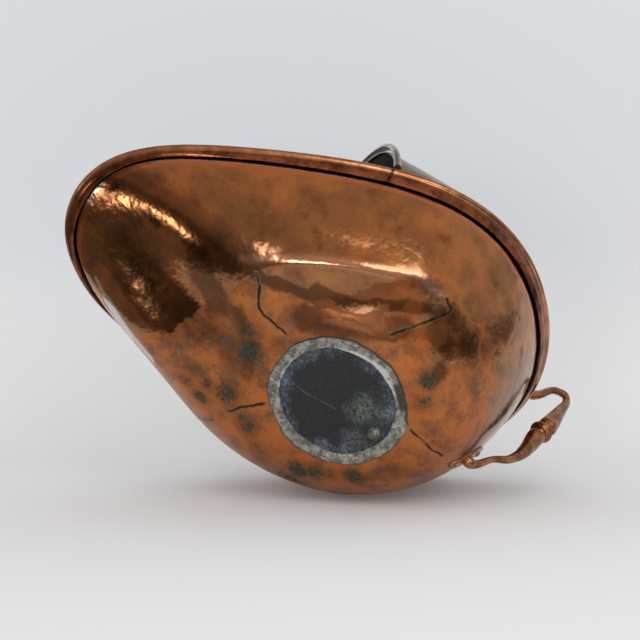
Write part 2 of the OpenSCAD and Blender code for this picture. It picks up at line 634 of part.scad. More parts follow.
top_rivet_places = [for (s = [top_start, top_end], v = [-leaf_rivet, leaf_rivet]) [s, v]];
module ridge_rivet(s, v) {
  a = ridge_angle(s);
  du = norm(hood_out(a, 92) - hood_out(a, 88))/4;
  stand_on(ridge_leaf(s, v, 0, leaf_gap + leaf_t), hood_normal(a, 90 + v*top_leaf_half_w/du))
    children();
}

// these rivets go through the leaf and the sheet, with a small head inside the hood
through_l = hood_t + leaf_gap + leaf_t;
module through_rivet() {
  rivet();
  translate([0, 0, -through_l - 0.5]) cylinder(r = rivet_r, h = through_l + 0.5, $fn = 24);
  translate([0, 0, -through_l - 1.2]) cylinder(r = rivet_r + 0.9, h = 0.9, $fn = 24);
}

module top_handle_rivets()
  color("#ad6b43") for (place = top_rivet_places) ridge_rivet(place[0], place[1]) through_rivet();

body_shell();
base_plate();
base_solder_ring();
rim_moulding_front();
rim_moulding_rear();
rim_wire();
rim_seam_solder();
rim_joint_solder();
hood_sheet();
hood_edge_roll();
hood_edge_wire();
hood_seam_solder();
rear_handle_upper_arm();
rear_handle_knop();
rear_handle_lower_arm();
rear_handle_tie_rod();
rear_handle_rivets();
top_handle_front_arm();
top_handle_knop();
top_handle_rear_arm();
top_handle_tie_rod();
top_handle_rivets();
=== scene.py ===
"""Copper helmet coal scuttle that has lost its foot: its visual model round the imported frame.

Everything is in metres in the part's frame: origin in the middle of the underside of the solder
ring, +Z up out of the mouth, +X to the rear handle, -X to the pouring lip. Angles are in degrees.
"""
import functools

import bpy
import numpy as np
from bpy.props import FloatProperty, FloatVectorProperty, PointerProperty
from bpy.types import Operator, Panel, PropertyGroup
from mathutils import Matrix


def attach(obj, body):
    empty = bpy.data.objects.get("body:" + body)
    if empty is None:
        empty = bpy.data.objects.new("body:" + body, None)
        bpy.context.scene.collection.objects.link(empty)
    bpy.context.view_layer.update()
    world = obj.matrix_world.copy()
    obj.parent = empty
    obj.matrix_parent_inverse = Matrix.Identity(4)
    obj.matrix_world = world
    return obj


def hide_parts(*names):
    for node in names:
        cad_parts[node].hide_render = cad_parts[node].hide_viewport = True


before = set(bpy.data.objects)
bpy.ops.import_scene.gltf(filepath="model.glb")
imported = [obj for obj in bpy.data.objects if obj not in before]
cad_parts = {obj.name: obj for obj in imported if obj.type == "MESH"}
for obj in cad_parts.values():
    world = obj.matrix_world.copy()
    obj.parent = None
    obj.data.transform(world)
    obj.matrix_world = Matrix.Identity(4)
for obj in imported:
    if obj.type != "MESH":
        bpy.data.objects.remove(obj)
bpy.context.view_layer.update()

bl_info = {
    "name": "Copper coal scuttle",
    "version": (1, 0, 0),
    "blender": (4, 5, 0),
    "location": "3D View > Sidebar > Scuttle",
    "description": "Builds a hooded copper coal scuttle over its packed frame",
    "category": "Object",
}

MM = 0.001
FAR = 9.0                   # metres, more than any distance in use
SEAM_GAP = 0.05*MM          # clearance between a piece and what it is joined to
HOOD_INSET = 0.35*MM        # of the hood's foot from the body's edge
CORNER_ROOM = 7.5*MM        # taken by the bead and the roll at each corner of the hood's mouth
TOP_KNOP_L = 15*MM          # length of the carrying handle's knop
PIVOT_DROP = 7*MM           # of the line about which the rear handle leans, below the rim's back
# the handles' curves are drawn in millimetres for this reach, slim radius and rise
DRAWN_REACH, DRAWN_ARM, DRAWN_RISE = 34, 3.4, 44
AROUND, UP_WALL, INNER_ROWS = 620, 124, 28          # points of the body's grid
RIDGE_LEAF = 20*MM, 9*MM    # half length and half width of a leaf on the hood's ridge
RIVETS_AT = (-0.6, 0.6)     # places of a leaf's rivets along it, from -1 to 1
SHARP = 48                  # angle in degrees between faces from which their edge is sharp
RELIEF = 0.03               # share of the body's written relief that the mesh carries


def linear(colour):
    """The linear colour, with alpha 1, of an sRGB hex value such as "#b87333"."""
    v = np.array([int(colour[i:i + 2], 16) for i in (1, 3, 5)])/255
    v = np.where(v <= 0.04045, v/12.92, ((v + 0.055)/1.055)**2.4)
    return (*[float(c) for c in v], 1.0)


def length(name, about, value):
    """A size in millimetres as a Blender length."""
    return FloatProperty(name=name, description=about, default=value*MM, unit="LENGTH", precision=5)


def number(name, about, value):
    """A plain number."""
    return FloatProperty(name=name, description=about, default=value)


def angle_of(name, about, value):
    """An angle in degrees."""
    return FloatProperty(name=name, description=about + ", in degrees", default=value)


def colour(name, about, value):
    """A colour given as an sRGB hex value."""
    return FloatVectorProperty(name=name, description=about, subtype="COLOR", size=4,
                               min=0, max=1, default=linear(value))


# ---- sizes and colours ------------------------------------------------------------------

class RimSizes(PropertyGroup):
    back: length("Reach at the back", "Rim's reach behind the middle of the base", 150)
    lip: length("Reach at the lip", "Rim's reach in front of the middle of the base", 278)
    half_w: length("Half width", "Half width of the mouth before its egg shaping", 155)
    back_z: length("Back height", "Height of the rim at the back", 172)
    lip_z: length("Lip height", "Height of the rim at the lip", 48)
    sag: length("Sag", "Sag of the rim below a straight line", 8.6)
    egg_wide: number("Egg width", "How much wider the back half is", 0.336)
    egg_waist: number("Egg waist", "How much the middle is drawn in", -0.04)
    egg_blunt: number("Egg bluntness", "How blunt the lip is", -0.26)
    flank_in: length("Knock", "How far the right front of the rim is pushed in", 7)
    bead_r: length("Bead radius", "Radius of the round bead", 3.6)
    strip_t: length("Strip thickness", "Thickness of the moulding's strip", 0.8)
    skirt_gap: length("Skirt clearance", "Clearance between the skirt and the body", 1.6)
    joint: angle_of("Butt joint", "Angle from the back to the joint of the two lengths", 90)
    dints: length("Dints", "Unevenness of the moulding", 0.22)


class BodySizes(PropertyGroup):
    sheet_t: length("Sheet thickness", "Thickness of the body's sheet", 1.2)
    base_r: length("Bottom radius", "Radius at which the body leaves its flat bottom", 59)
    base_rise: length("Bottom height", "Height of the bottom above the ring's underside", 2)
    edge_in: length("Edge inset", "Distance of the body's edge from the bead's outer face", 7)
    edge_down: length("Edge drop", "Drop of the body's edge below the bead's middle", 3)
    belly_side: number("Side belly", "Fullness of the belly at the sides", 1.98)
    belly_back: number("Back belly", "Fullness of the belly at the back", 2.6)
    belly_lip: number("Lip belly", "Fullness of the belly under the lip", 1.2)
    belly_flank: number("Flank belly", "Extra fullness between side and lip", 1)
    belly_right: number("Right belly", "Extra fullness of the right flank", 0.8)
    wall_side: number("Side wall", "Steepness of the wall at the sides", 1.5)
    wall_lip: number("Lip wall", "Steepness of the wall under the lip", 1.0)
    flange_w: length("Flange width", "Width of the flange under the base plate", 8.5)
    dent_depth: length("Dent depth", "Depth of the hollow beside the base", 6)
    fold_h: length("Fold height", "Height of the fold outside the hollow", 2.4)
    dent_half_l: length("Dent half length", "Half length of the dent", 82)
    dent_half_w: length("Dent half width", "Half width of the hollow", 20)
    dent_out: length("Dent distance", "Distance of the dent from the middle of the base", 88)
    dent_dir: angle_of("Dent direction", "Direction of the dent's middle from the back", 246)
    fold_out: length("Fold distance", "Distance of the fold from the dent's middle line", 27)
    fold_half_w: length("Fold half width", "Half width of the fold", 7)
    dent_fade: length("Dent fade", "Width over which the dent fades out at the base", 12)
    hammer_h: length("Hammer marks", "Depth of the hammer marks", 0.16)
    hammer_l: length("Hammer mark spacing", "Spacing of the hammer marks", 17)
    wave_h: length("Waves", "Height of the sheet's broad waves", 0.5)
    ring_w: length("Ring width", "Width of the solder ring", 10.5)


class HoodSizes(PropertyGroup):
    angle0: angle_of("Mouth angle", "Angle from the back to the hood's mouth", 88)
    last: angle_of("Last angle", "Angle of the hood's last upright section", 14)
    h: length("Height", "Height of the hood's mouth above the rim", 155)
    lean: number("Lean", "Forward lean of the hood's mouth", 0.25)
    slope: number("Slope", "How steadily the back slopes down", 1.2)
    full: number("Mouth fullness", "Fullness of the section at the mouth", 2.05)
    throat: number("Throat fullness", "Fullness of the section behind the mouth", 1.8)
    rate: number("Throat rate", "How quickly the section changes", 13)
    sheet_t: length("Sheet thickness", "Thickness of the hood's sheet", 0.9)
    roll_r: length("Roll radius", "Outer radius of the rolled edge", 3.1)


class HandleSizes(PropertyGroup):
    reach: length("Reach", "Reach of the rear handle behind the rim", 34)
    arm_r: length("Arm radius", "Radius of the slim part of the arms", 3.4)
    knop_r: length("Knop radius", "Radius of the knop", 10.5)
    knop_l: length("Knop length", "Length of the knop along the grip", 15)
    trumpet_r: length("Trumpet radius", "Radius of the trumpet ends", 8.8)
    leaf_half_h: length("Leaf half height", "Half height of the lower leaf", 30)
    leaf_half_w: length("Leaf half width", "Half width of the lower leaf", 11)
    leaf_t: length("Leaf thickness", "Thickness of the leaves", 1.6)
    leaf_gap: length("Leaf gap", "Clearance between a leaf and the sheet", 0.3)
    lean: angle_of("Lean", "Lean of the rear handle to the right", 7)
    root_place: number("Upper foot", "Place of the upper foot along the hood's ridge", 0.93)
    top_span: length("Carrying handle span", "Distance between its feet", 112)
    top_rise: length("Carrying handle rise", "Rise of its grip", 44)
    top_start: number("Carrying handle start", "Place of its front foot along the ridge", 0.1)
    rivet_r: length("Rivet radius", "Radius of a rivet's shank", 1.8)
    rivet_head_r: length("Rivet head radius", "Radius of a rivet's head", 3.4)


class FinishColours(PropertyGroup):
    bright: colour("Bright copper", "Rubbed copper", "#d6a283")
    orange: colour("Orange copper", "Half-polished copper", "#bd7a4e")
    brown: colour("Brown copper", "Copper with a brown tarnish", "#976848")
    dark: colour("Dark tarnish", "Oldest tarnish", "#4a3224")
    verdigris: colour("Verdigris", "Green corrosion", "#4c5a48")
    residue: colour("Residue", "Grey deposit and old tinning", "#a89c94")
    iron: colour("Iron wire", "Rusty iron wire", "#4a4240")
    # colour of the inside: tarnish darkened with painted shade
    blackening: colour("Blackening", "Blackened inside", "#2c2622")


class StageSettings(PropertyGroup):
    floor: colour("Floor", "Colour of the floor", "#e9e9ea")
    wall: colour("Wall", "Colour of the wall", "#dfe2e6")
    room: colour("Room", "Colour of the room that the copper mirrors", "#bbac9e")
    ceiling: colour("Ceiling", "Colour of the ceiling and of the room's lit front", "#cdc7c0")
    corner: colour("Dark corner", "Colour of the room's dark corners", "#7d746b")
    nook: colour("Dark nook", "Colour of the darkest part of the room", "#453e38")
    glow: colour("Warm glow", "Colour of the room above the lamp", "#d9c4ae")
    light: colour("Plain light", "Colour of the plain light from all round", "#eeeeee")
    wall_back: length("Wall distance", "Distance of the wall behind the object", 420)
    tip: angle_of("Camera height", "Angle by which the camera looks down on the floor", 4)
    key_power: FloatProperty(name="Key light", description="Power of the key light",
                             default=2.6, unit="POWER")
    side_power: FloatProperty(name="Side light", description="Power of the light on the left",
                              default=0.32, unit="POWER")
    fill_power: FloatProperty(name="Fill light", description="Power of the fill light",
                              default=5.0, unit="POWER")


GROUPS = (RimSizes, BodySizes, HoodSizes, HandleSizes, FinishColours, StageSettings)
PLACES = ("scuttle_rim", "scuttle_body", "scuttle_hood", "scuttle_handles", "scuttle_finish",
          "scuttle_stage")


def settings(place):
    """The scene's values of that group."""
    return getattr(bpy.context.scene, place)


# ---- arithmetic --------------------------------------------------------------------------

def cosd(a):
    return np.cos(np.radians(a))


def sind(a):
    return np.sin(np.radians(a))


def unit(v):
    """Each vector over its own length."""
    return v/np.maximum(np.linalg.norm(v, axis=-1, keepdims=True), 1e-12)


def power(v, e):
    """Size of v to the power e, with v's sign."""
    return np.sign(v)*np.abs(v)**e


def bump(a, lo, hi):
    """A hill between the angles lo and hi: sine squared, 0 outside."""
    return np.where((a > lo) & (a < hi), sind(180*(a - lo)/(hi - lo))**2, 0.0)


def bell(d, width):
    """A bell curve: e to the minus square of distance over width."""
    return np.exp(-(d/width)**2)


def circle(w):
    """Points of a circle of radius 1 at the angles w."""
    return np.stack([cosd(w), sind(w)], -1)


def far_from(points, *corner):
    """Distance of each point from a place in millimetres."""
    return np.linalg.norm(points - np.array(corner)*MM, axis=-1)


def step(v, lo, hi):
    """0 below lo, 1 above hi, and a smooth cubic between."""
    k = np.clip((v - lo)/(hi - lo), 0, 1)
    return k*k*(3 - 2*k)


def pairs(a, b):
    """Grids of the values of a, along the first axis, and of b, along the second."""
    return np.meshgrid(a, b, indexing="ij")


def bisect(test, lo, hi):
    """The value between lo and hi at which test, true at lo, turns false."""
    for _ in range(30):
        mid = (lo + hi)/2
        lo, hi = (mid, hi) if test(mid) else (lo, mid)
    return lo


def ripple(points, wave, seed):
    """Sum of cosine waves in random directions, each about one wavelength long, mostly between
    -1 and 1."""
    many = 14
    rng = np.random.default_rng(seed)
    way = unit(rng.normal(size=(many, 3)))*2*np.pi/wave*rng.uniform(0.6, 1.5, (many, 1))
    return np.cos(points @ way.T + rng.uniform(0, 2*np.pi, many)).sum(-1)/many**0.5/2


def line_distance(points, line):
    """Distance of each point from a line through corners: the least of its distances from the
    straight pieces, where a place outside a piece counts from its nearer end."""
    least = np.full(points.shape[:-1], FAR)
    for p, q in zip(line[:-1], line[1:]):
        k = np.clip(((points - p) @ (q - p))/((q - p) @ (q - p)), 0, 1)
        least = np.minimum(least, np.linalg.norm(points - p - k[..., None]*(q - p), axis=-1))
    return least


def line_strength(points, line, fade):
    """1 along a line, falling to 0 at its last end and less so at its first."""
    last, first = (np.linalg.norm(points - line[k], axis=-1) for k in (-1, 0))
    return step(last, 0, fade)*(0.4 + 0.6*step(first, 0, 6*MM))


def inside_loop(points, loop):
    """Signed distance in plan from a closed line: positive inside, where a level ray crosses the
    line an odd number of times."""
    x, y = points[..., 0], points[..., 1]
    odd = np.zeros(x.shape, bool)
    for p, q in zip(loop, np.roll(loop, -1, 0)):
        cross = (q[0] - p[0])*(y - p[1])/(q[1] - p[1] + 1e-12) + p[0]
        odd ^= ((p[1] > y) != (q[1] > y)) & (x < cross)
    far = line_distance(points[..., :2], np.concatenate([loop, loop[:1]]))
    return np.where(odd, far, -far)


def grid_normal(p, wrap):
    """Outward normals of a grid of points: the cross product of its two central differences."""
    ahead = np.concatenate([p[-1:], p, p[:1]]) if wrap else np.concatenate([p[:1], p, p[-1:]])
    da = ahead[2:] - ahead[:-2]
    return unit(np.cross(da, np.gradient(p, axis=1)))


# ---- meshes ------------------------------------------------------------------------------

def grid_faces(n, m, wrap_n, wrap_m):
    """Four-cornered faces between n rings of m points, the first and last joined where wrapped."""
    i, k = pairs(np.arange(n if wrap_n else n - 1), np.arange(m if wrap_m else m - 1))
    a, b = i*m + k, i*m + (k + 1) % m
    c, d = (i + 1) % n*m + (k + 1) % m, (i + 1) % n*m + k
    return np.stack([a, b, c, d], -1).reshape(-1, 4)


def cap_faces(m, first, flip):
    """Strips that close one ring: its first and last points, its second and last but one, ..."""
    k = np.arange((m - 1)//2)
    return np.stack([k, k + 1, m - 2 - k, m - 1 - k], -1)[:, ::-1 if flip else 1] + first


def rings(p, wrap=False):
    """(points, faces) of a solid from rings p[i, k]. Open ends are closed with strips. Faces
    that enclose a negative signed volume are turned round, so that all look outwards."""
    n, m = p.shape[:2]
    faces = [grid_faces(n, m, wrap, True)]
    if not wrap:
        faces += [cap_faces(m, 0, True), cap_faces(m, (n - 1)*m, False)]
    p, f = p.reshape(-1, 3), np.concatenate(faces)
    a, b, c, d = (p[f[:, i]] for i in range(4))
    volume = (np.cross(b, c)*a).sum() + (np.cross(c, d)*a).sum()
    return p, f if volume > 0 else f[:, ::-1]


def shell(outer, inner):
    """(points, faces) of a closed plate between two grids of the same size."""
    return rings(np.concatenate([outer, inner[:, ::-1]], axis=1))


def piece(name, parts, materials, nodes, body="root", values=None, inside=None):
    """Makes one object of the (points, faces) parts. Faces point outwards. materials are put on
    in order; inside marks, face by face, those that take the second one. values are named
    numbers kept on the points for the materials."""
    points, faces, start = [], [], 0
    for p, f in parts:
        points.append(p)
        faces.append(f + start)
        start += len(p)
    points, faces = np.concatenate(points), np.concatenate(faces)
    mesh = bpy.data.meshes.new(name)
    mesh.vertices.add(len(points))
    mesh.vertices.foreach_set("co", points.astype(np.float32).ravel())
    mesh.loops.add(faces.size)
    mesh.loops.foreach_set("vertex_index", faces.astype(np.int32).ravel())
    mesh.polygons.add(len(faces))
    mesh.polygons.foreach_set("loop_start", np.arange(0, faces.size, 4, dtype=np.int32))
    mesh.update(calc_edges=True)
    for key, value in (values or {}).items():
        mesh.attributes.new(key, "FLOAT", "POINT").data.foreach_set(
            "value", value.astype(np.float32).ravel())
    for m in materials:
        mesh.materials.append(m)
    if inside is not None:
        mesh.polygons.foreach_set("material_index", inside.astype(np.int32))
    mesh.validate()
    mesh.shade_smooth()
    mesh.set_sharp_from_angle(angle=np.radians(SHARP))
    obj = bpy.data.objects.new(name, mesh)
    bpy.context.scene.collection.objects.link(obj)
    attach(obj, body)
    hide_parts(*nodes)
    return obj


def lathe(profile, base, axis, sides):
    """(points, faces) of a turned solid: profile is (distance along the axis, radius) from pole
    to pole, turned about an axis through base."""
    axis = unit(np.array(axis, float))
    side = unit(np.cross(axis, [0.0, 1.0, 0.02]))
    third = np.cross(axis, side)
    w = np.radians(np.arange(sides)*360/sides)
    ring = np.cos(w)[:, None]*side + np.sin(w)[:, None]*third
    profile = np.array(profile)
    p = base + profile[:, :1, None]*axis + profile[:, 1:, None]*ring[None]
    return rings(p)


# ---- the rim's line ----------------------------------------------------------------------

def rim_point(a):
    """x is a cosine; y is a sine times a cubic in the cosine, less a knock; z is a straight
    line in x with a parabolic sag."""
    r = settings("scuttle_rim")
    c = cosd(a)
    x = (r.back - r.lip)/2 + (r.back + r.lip)/2*c
    y = r.half_w*sind(a)*(1 + r.egg_wide*c + r.egg_waist*c**2 + r.egg_blunt*c**3)
    k = (x + r.lip)/(r.back + r.lip)
    z = r.lip_z + (r.back_z - r.lip_z)*k - 4*r.sag*k*(1 - k)
    return np.stack([x, y - r.flank_in*bump(a, 90, 145), z], -1)


def rim_out(a):
    """Level direction out of the mouth: the rim's level tangent turned by a right angle."""
    d = rim_point(a + 0.5) - rim_point(a - 0.5)
    return unit(np.stack([d[..., 1], -d[..., 0], 0*d[..., 0]], -1))


def on_rim(a, n, z):
    """The rim's point, moved n outwards and z up."""
    a, n, z = np.broadcast_arrays(np.asarray(a, float), n, z)
    return rim_point(a) + n[..., None]*rim_out(a) + z[..., None]*np.array([0, 0, 1])


# ---- body --------------------------------------------------------------------------------

def dent(x, y):
    """A bell-shaped hollow along a line beside the base, less a narrow bell-shaped fold outside
    it; both fade out to the ends and to the flat bottom."""
    s = settings("scuttle_body")
    out = np.array([cosd(s.dent_dir), sind(s.dent_dir)])
    dx, dy = x - s.dent_out*out[0], y - s.dent_out*out[1]
    u = (-dx*out[1] + dy*out[0])/s.dent_half_l
    v = dx*out[0] + dy*out[1]
    fade = np.maximum(0, 1 - u*u)**1.5*np.clip((np.hypot(x, y) - 1.017*s.base_r)/s.dent_fade, 0, 1)
    fold = s.fold_h + s.dent_depth*bell(s.fold_out, s.dent_half_w)
    return fade*(s.dent_depth*bell(v, s.dent_half_w)
                 - fold*bell(v - s.fold_out*(1 - 0.45*u*u), s.fold_half_w))


def body_out(a, t):
    """From the flat bottom at t 0 to the edge at t 1: the plan grows with a power of the sine,
    the height with one less a power of the cosine; the powers change round the body."""
    s = settings("scuttle_body")
    c = cosd(a)
    ahead = np.where(c < 0, 1.0, 0.0)
    belly = (s.belly_side + (s.belly_back - s.belly_side)*np.maximum(c, 0)**4
             + ahead*((s.belly_lip - s.belly_side)*c*c + s.belly_flank*sind(2*a)**2)
             + s.belly_right*bump(a, 65, 160))
    wall = s.wall_side + ahead*(s.wall_lip - s.wall_side)*c*c
    e = on_rim(a, -s.edge_in, -s.edge_down)
    b = s.base_r*unit(e[..., :2])
    grow = np.maximum(sind(90*t), 0)**(2/belly)
    rise = 1 - np.maximum(cosd(90*t), 0)**(2/wall)
    xy = b + (e[..., :2] - b)*grow[..., None]
    z = s.base_rise + (e[..., 2] - s.base_rise)*rise + dent(xy[..., 0], xy[..., 1])
    return np.concatenate([xy, z[..., None]], -1)


def body_normal(a, t):
    """Cross product of the body's differences round it and up it."""
    da = body_out(a + 1, t) - body_out(a - 1, t)
    dt = body_out(a, np.minimum(t + 0.02, 1)) - body_out(a, np.maximum(t - 0.02, 0.02))
    return unit(np.cross(da, dt))


def line(*corners):
    """Corners in millimetres as points in metres."""
    return np.array(corners, float)*MM


# Sharp folds round the dent: its crest, the crease that curls from the crest's right end back to
# the base, the crease at its left end, the hollow under the crest and two small ridges beside it.
CREST = line((-126, -60, 10), (-119, -64, 10), (-112, -69, 11), (-97, -80, 14), (-77, -92, 16),
             (-55, -102, 20), (-33, -110, 24), (-14, -116, 29), (-3, -120, 36), (13, -116, 37),
             (27, -114, 40))
HOOK = line((27, -114, 40), (34, -110, 39), (35, -107, 36), (33, -105, 32), (23, -96, 20),
            (10, -83, 10), (4, -76, 6), (-4, -71, 4))
LEFT_FOLD = line((-109, -57, 8), (-101, -47, 5), (-94, -34, 3), (-87, -31, 3), (-70, -29, 3),
                 (-61, -27, 2))
HOLLOW = line((-109, -55, 7), (-86, -62, 8), (-56, -67, 10), (-23, -83, 13), (6, -100, 21),
              (29, -106, 31))
MINOR = (line((-112, -58, 8), (-102, -65, 9), (-84, -74, 11)),
         line((-35, -103, 20), (-13, -108, 25), (5, -109, 28)))
CRACKS = (line((-91, 109, 29), (-83, 98, 18), (-76, 87, 10)),
          line((-71, 68, 4), (-58, 50, 2), (-46, 38, 2)),
          line((63, -16, 2), (74, -13, 4), (84, -8, 7), (93, -5, 13), (99, -1, 19)))
# All folds and cracks: line, depth, half width, and length over which the last end fades out.
SCARS = ((LEFT_FOLD, 1.3*MM, 1.4*MM, 9*MM), (HOOK, 1.6*MM, 1.4*MM, 30*MM),
         *((crack, 0.3*MM, 1.3*MM, 9*MM) for crack in CRACKS))
# Small round dings near the lip and the hood in millimetres, with a radius and a depth.
DINGS = ((-236, -34, 38, 6, 0.5), (-226, -40, 35, 5, 0.5), (-220, -31, 33, 6, 0.45),
         (-193, -38, 25, 6, 0.5), (-186, -31, 22, 4, 0.3), (-244, -12, 39, 5, 0.4),
         (-228, 2, 35, 4, 0.3), (20, -132, 50, 7, 0.5), (42, -124, 52, 9, 0.5),
         (48, -112, 44, 6, 0.4))


def hammer(points, spacing, seed):
    """Shallow hollows side by side: the distance from the nearest of many scattered points, over
    the spacing, squared."""
    rng = np.random.default_rng(seed)
    flat = points.reshape(-1, 3)
    cells = np.unique(np.round(flat/spacing).astype(int), axis=0)
    seeds = (cells + rng.uniform(-0.42, 0.42, cells.shape))*spacing
    least = np.empty(len(flat))
    batch = 4000
    for i in range(0, len(flat), batch):
        part = flat[i:i + batch]
        square = (part**2).sum(1)[:, None] + (seeds**2).sum(1) - 2*part @ seeds.T
        least[i:i + batch] = np.sqrt(np.maximum(square.min(1), 0))
    return (least.reshape(points.shape[:-1])/spacing)**2


def body_surface():
    """The body's outer face with a share of its waves, hammer marks, dings and folds; its
    normals; and each point's angle and place up the wall."""
    s = settings("scuttle_body")
    turn = np.arange(AROUND)*360/AROUND
    a = turn - np.degrees(0.45)*cosd(turn)        # stations lie closer on the dented side
    a, t = pairs(a, np.linspace(0, 1, UP_WALL)**0.9)
    p = body_out(a, t)
    n = grid_normal(p, True)
    n[:, :2] = [0, 0, -1]
    out = s.wave_h*ripple(p, 0.075, 3) + 0.3*s.wave_h*ripple(p, 0.028, 5)
    out = out + s.hammer_h*(hammer(p, s.hammer_l, 11) - 0.3)*2.4
    for *where, r, depth in DINGS:
        out = out - depth*MM*bell(far_from(p, *where), r*MM)
    # the crest falls away gently outwards and steeply towards the base
    way = 5*MM*np.array([cosd(s.dent_dir), sind(s.dent_dir), 0])
    shaky = p + (1.1*MM*ripple(p, 0.011, 61))[..., None]*unit(way)
    outside = line_distance(shaky, CREST + way) < line_distance(shaky, CREST - way)
    soft = np.hypot(line_distance(shaky, CREST), 4.5*MM) - 4.5*MM
    out = out + 2.7*MM*np.exp(-soft/np.where(outside, 10*MM, 5.5*MM))
    for minor in MINOR:
        out = out + 0.3*MM*np.exp(-np.hypot(line_distance(p, minor), 1*MM)/(2*MM))
    out = out - 1.0*MM*bell(line_distance(p, HOLLOW), 9*MM)
    for scar, depth, width, fade in SCARS:
        out = out - depth*bell(line_distance(p, scar), width)*line_strength(p, scar, fade)
    return p + RELIEF*out[..., None]*n, n, a, t


class SCUTTLE_OT_body(Operator):
    """Raised copper body with its dent, folds and hammer marks"""
    bl_idname = "scuttle.body"
    bl_label = "Build body"

    def execute(self, context):
        s = settings("scuttle_body")
        p, n, a, t = body_surface()
        rows = np.unique(np.round(np.linspace(p.shape[1] - 1, 0, INNER_ROWS)).astype(int))[::-1]
        inner = p[:, rows] - s.sheet_t*n[:, rows]
        level = unit(p[:, :1, :2])*(s.base_r - s.flange_w)
        flange = np.concatenate([level, np.full_like(level[..., :1], s.base_rise)], -1)
        lift = np.array([0, 0, s.sheet_t])
        grid = np.concatenate([flange, p, inner, flange + lift], axis=1)
        points, faces = rings(grid, wrap=True)
        m = grid.shape[1]
        inside = (np.arange(len(faces)) % m) >= p.shape[1] + 1
        values = body_marks(grid)
        # distance below the moulding's foot, measured along the sheet
        reach = np.linalg.norm(np.diff(p, axis=1), axis=-1)[:, ::-1].cumsum(1)[:, ::-1]
        foot = np.take_along_axis(reach, (t[:, 1:] < skirt_t(a[:, :1])).sum(1)[:, None] - 1, 1)
        edge = np.full(grid.shape[:2], -1.0)
        edge[:, 1:p.shape[1]] = reach - foot
        values["edge"] = edge
        piece("raised_copper_body", [(points, faces)],
              [copper_body(), blackened_inside()], ["body_shell"],
              values=values, inside=inside)
        return {"FINISHED"}


def body_marks(p):
    """How far inside the worn part a place lies, and from 0 to 1 how stained it is, how much
    painted shade and painted pale reflection it takes and how bright its crest is, rubbed and with
    a painted highlight, as the greatest of bell curves round places and lines."""
    def spots(places):
        return np.max([k*bell(far_from(p, *where), r*MM) for *where, r, k in places], axis=0)

    def strokes(places):
        return np.max([k*bell(line_distance(p, place), wide*MM) for place, wide, k in places],
                      axis=0)
    crack = np.max([bell(line_distance(p, scar), 6*MM)*line_strength(p, scar, fade)
                    for scar, depth, width, fade in SCARS], axis=0)
    return {"worn": inside_loop(p, WORN), "stain": spots(STAINED), "shade": strokes(SHADED),
            "crest": strokes([(CREST, 3.6, 1)]), "bloom": spots(BLOOM), "crack": crack,
            "pale": strokes(PALE)}


# The tide line in plan round the part whose polish has worn off, in millimetres.
WORN = np.array([
    (-171, 71), (-159, 56), (-146, 36), (-144, 20), (-135, 5), (-126, -11), (-123, -30),
    (-121, -48), (-109, -55), (-86, -62), (-56, -67), (-23, -83), (6, -100), (29, -106), (23, -96),
    (11, -82), (16, -78), (25, -87), (40, -82), (48, -77), (58, -64), (77, -44), (74, -56),
    (63, -70), (62, -76), (69, -77), (68, -83), (73, -84), (72, -91), (62, -106), (67, -108),
    (84, -89), (104, -63), (107, -49), (120, -24), (117, -1), (112, 60), (60, 128), (0, 148),
    (-80, 140), (-140, 110)])*MM

# Places in millimetres, with a radius and a strength: a blue-grey bloom.
BLOOM = ((9, -117, 36, 9, 1.0), (17, -115, 37, 9, 1.0), (58, -60, 10, 8, 0.5),
         (-102, 12, 6, 12, 0.7), (-101, 40, 6, 9, 0.6), (-92, 41, 5, 7, 0.6),
         (86, -100, 88, 14, 0.5), (112, -70, 102, 12, 0.4))
# Lines with a width in millimetres and a strength: painted shade over the hollow under the crest,
# over patches where the copper mirrors the light floor and over stretches of the window's
# highlight, with a few dark streaks; and painted reflections of the pale floor and wall.
SHADED = (
    (HOLLOW, 7, 1),
    (line((42, -104, 36), (66, -88, 37)), 17, 0.7),
    (line((54, -66, 11), (49, -90, 25)), 11, 0.7),
    (line((80, -99, 74), (78, -85, 50)), 15, 0.55),
    (line((-157, -34, 18), (-140, -20, 13), (-126, -12, 10)), 22, 0.85),
    (line((-108, -14, 9), (-84, 2, 5), (-74, 24, 3)), 15, 0.6),
    (line((-206, 9, 30), (-191, 16, 25), (-164, 25, 18)), 15, 0.5),
    (line((-270, -19, 48), (-252, -27, 42)), 11, 1.4),
    (line((-212, -36, 30), (-201, -35, 27)), 6, 0.8),
    (line((-62, -71, 9), (-40, -74, 11), (-14, -84, 14)), 8, 1.3),
    (line((109, -77, 105), (121, -54, 101), (125, -34, 89), (130, -11, 82)), 9, 0.55),
    (line((-62, -47, 4), (-30, -57, 3), (-9, -75, 8), (8, -86, 13)), 17, 0.8),
    (line((-122, 16, 9), (-102, 15, 5), (-84, 30, 2)), 15, 0.62),
    (line((-109, -111, 40), (-92, -106, 31), (-76, -101, 20)), 7, 0.42))
PALE = ((line((-226, 52, 37), (-213, 58, 34)), 3, 1),
        (line((-207, 61, 32), (-189, 69, 29), (-172, 74, 26), (-152, 80, 21)), 8, 1))
# Stains, as places with a radius and a strength.
STAINED = (
    (-81, 7, 4, 17, 1.0), (-93, -8, 6, 16, 0.75), (-49, 70, 4, 9, 0.9), (-57, 67, 3, 9, 0.8),
    (-97, 74, 8, 11, 0.9), (-80, 52, 4, 14, 0.9), (-97, 57, 6, 9, 0.9), (-113, 68, 11, 10, 0.8),
    (-112, 52, 9, 13, 0.5), (6, 82, 7, 12, 1.0), (19, 74, 5, 11, 0.9), (46, 55, 4, 10, 1.0),
    (71, 27, 5, 10, 0.7), (50, -61, 7, 10, 1.0), (58, -44, 4, 9, 0.8), (5, 103, 21, 18, 0.9),
    (24, -104, 33, 10, 0.7), (-34, 84, 9, 9, 0.6), (30, 66, 5, 8, 0.7), (-66, -14, 2, 9, 0.55))


# ---- base --------------------------------------------------------------------------------

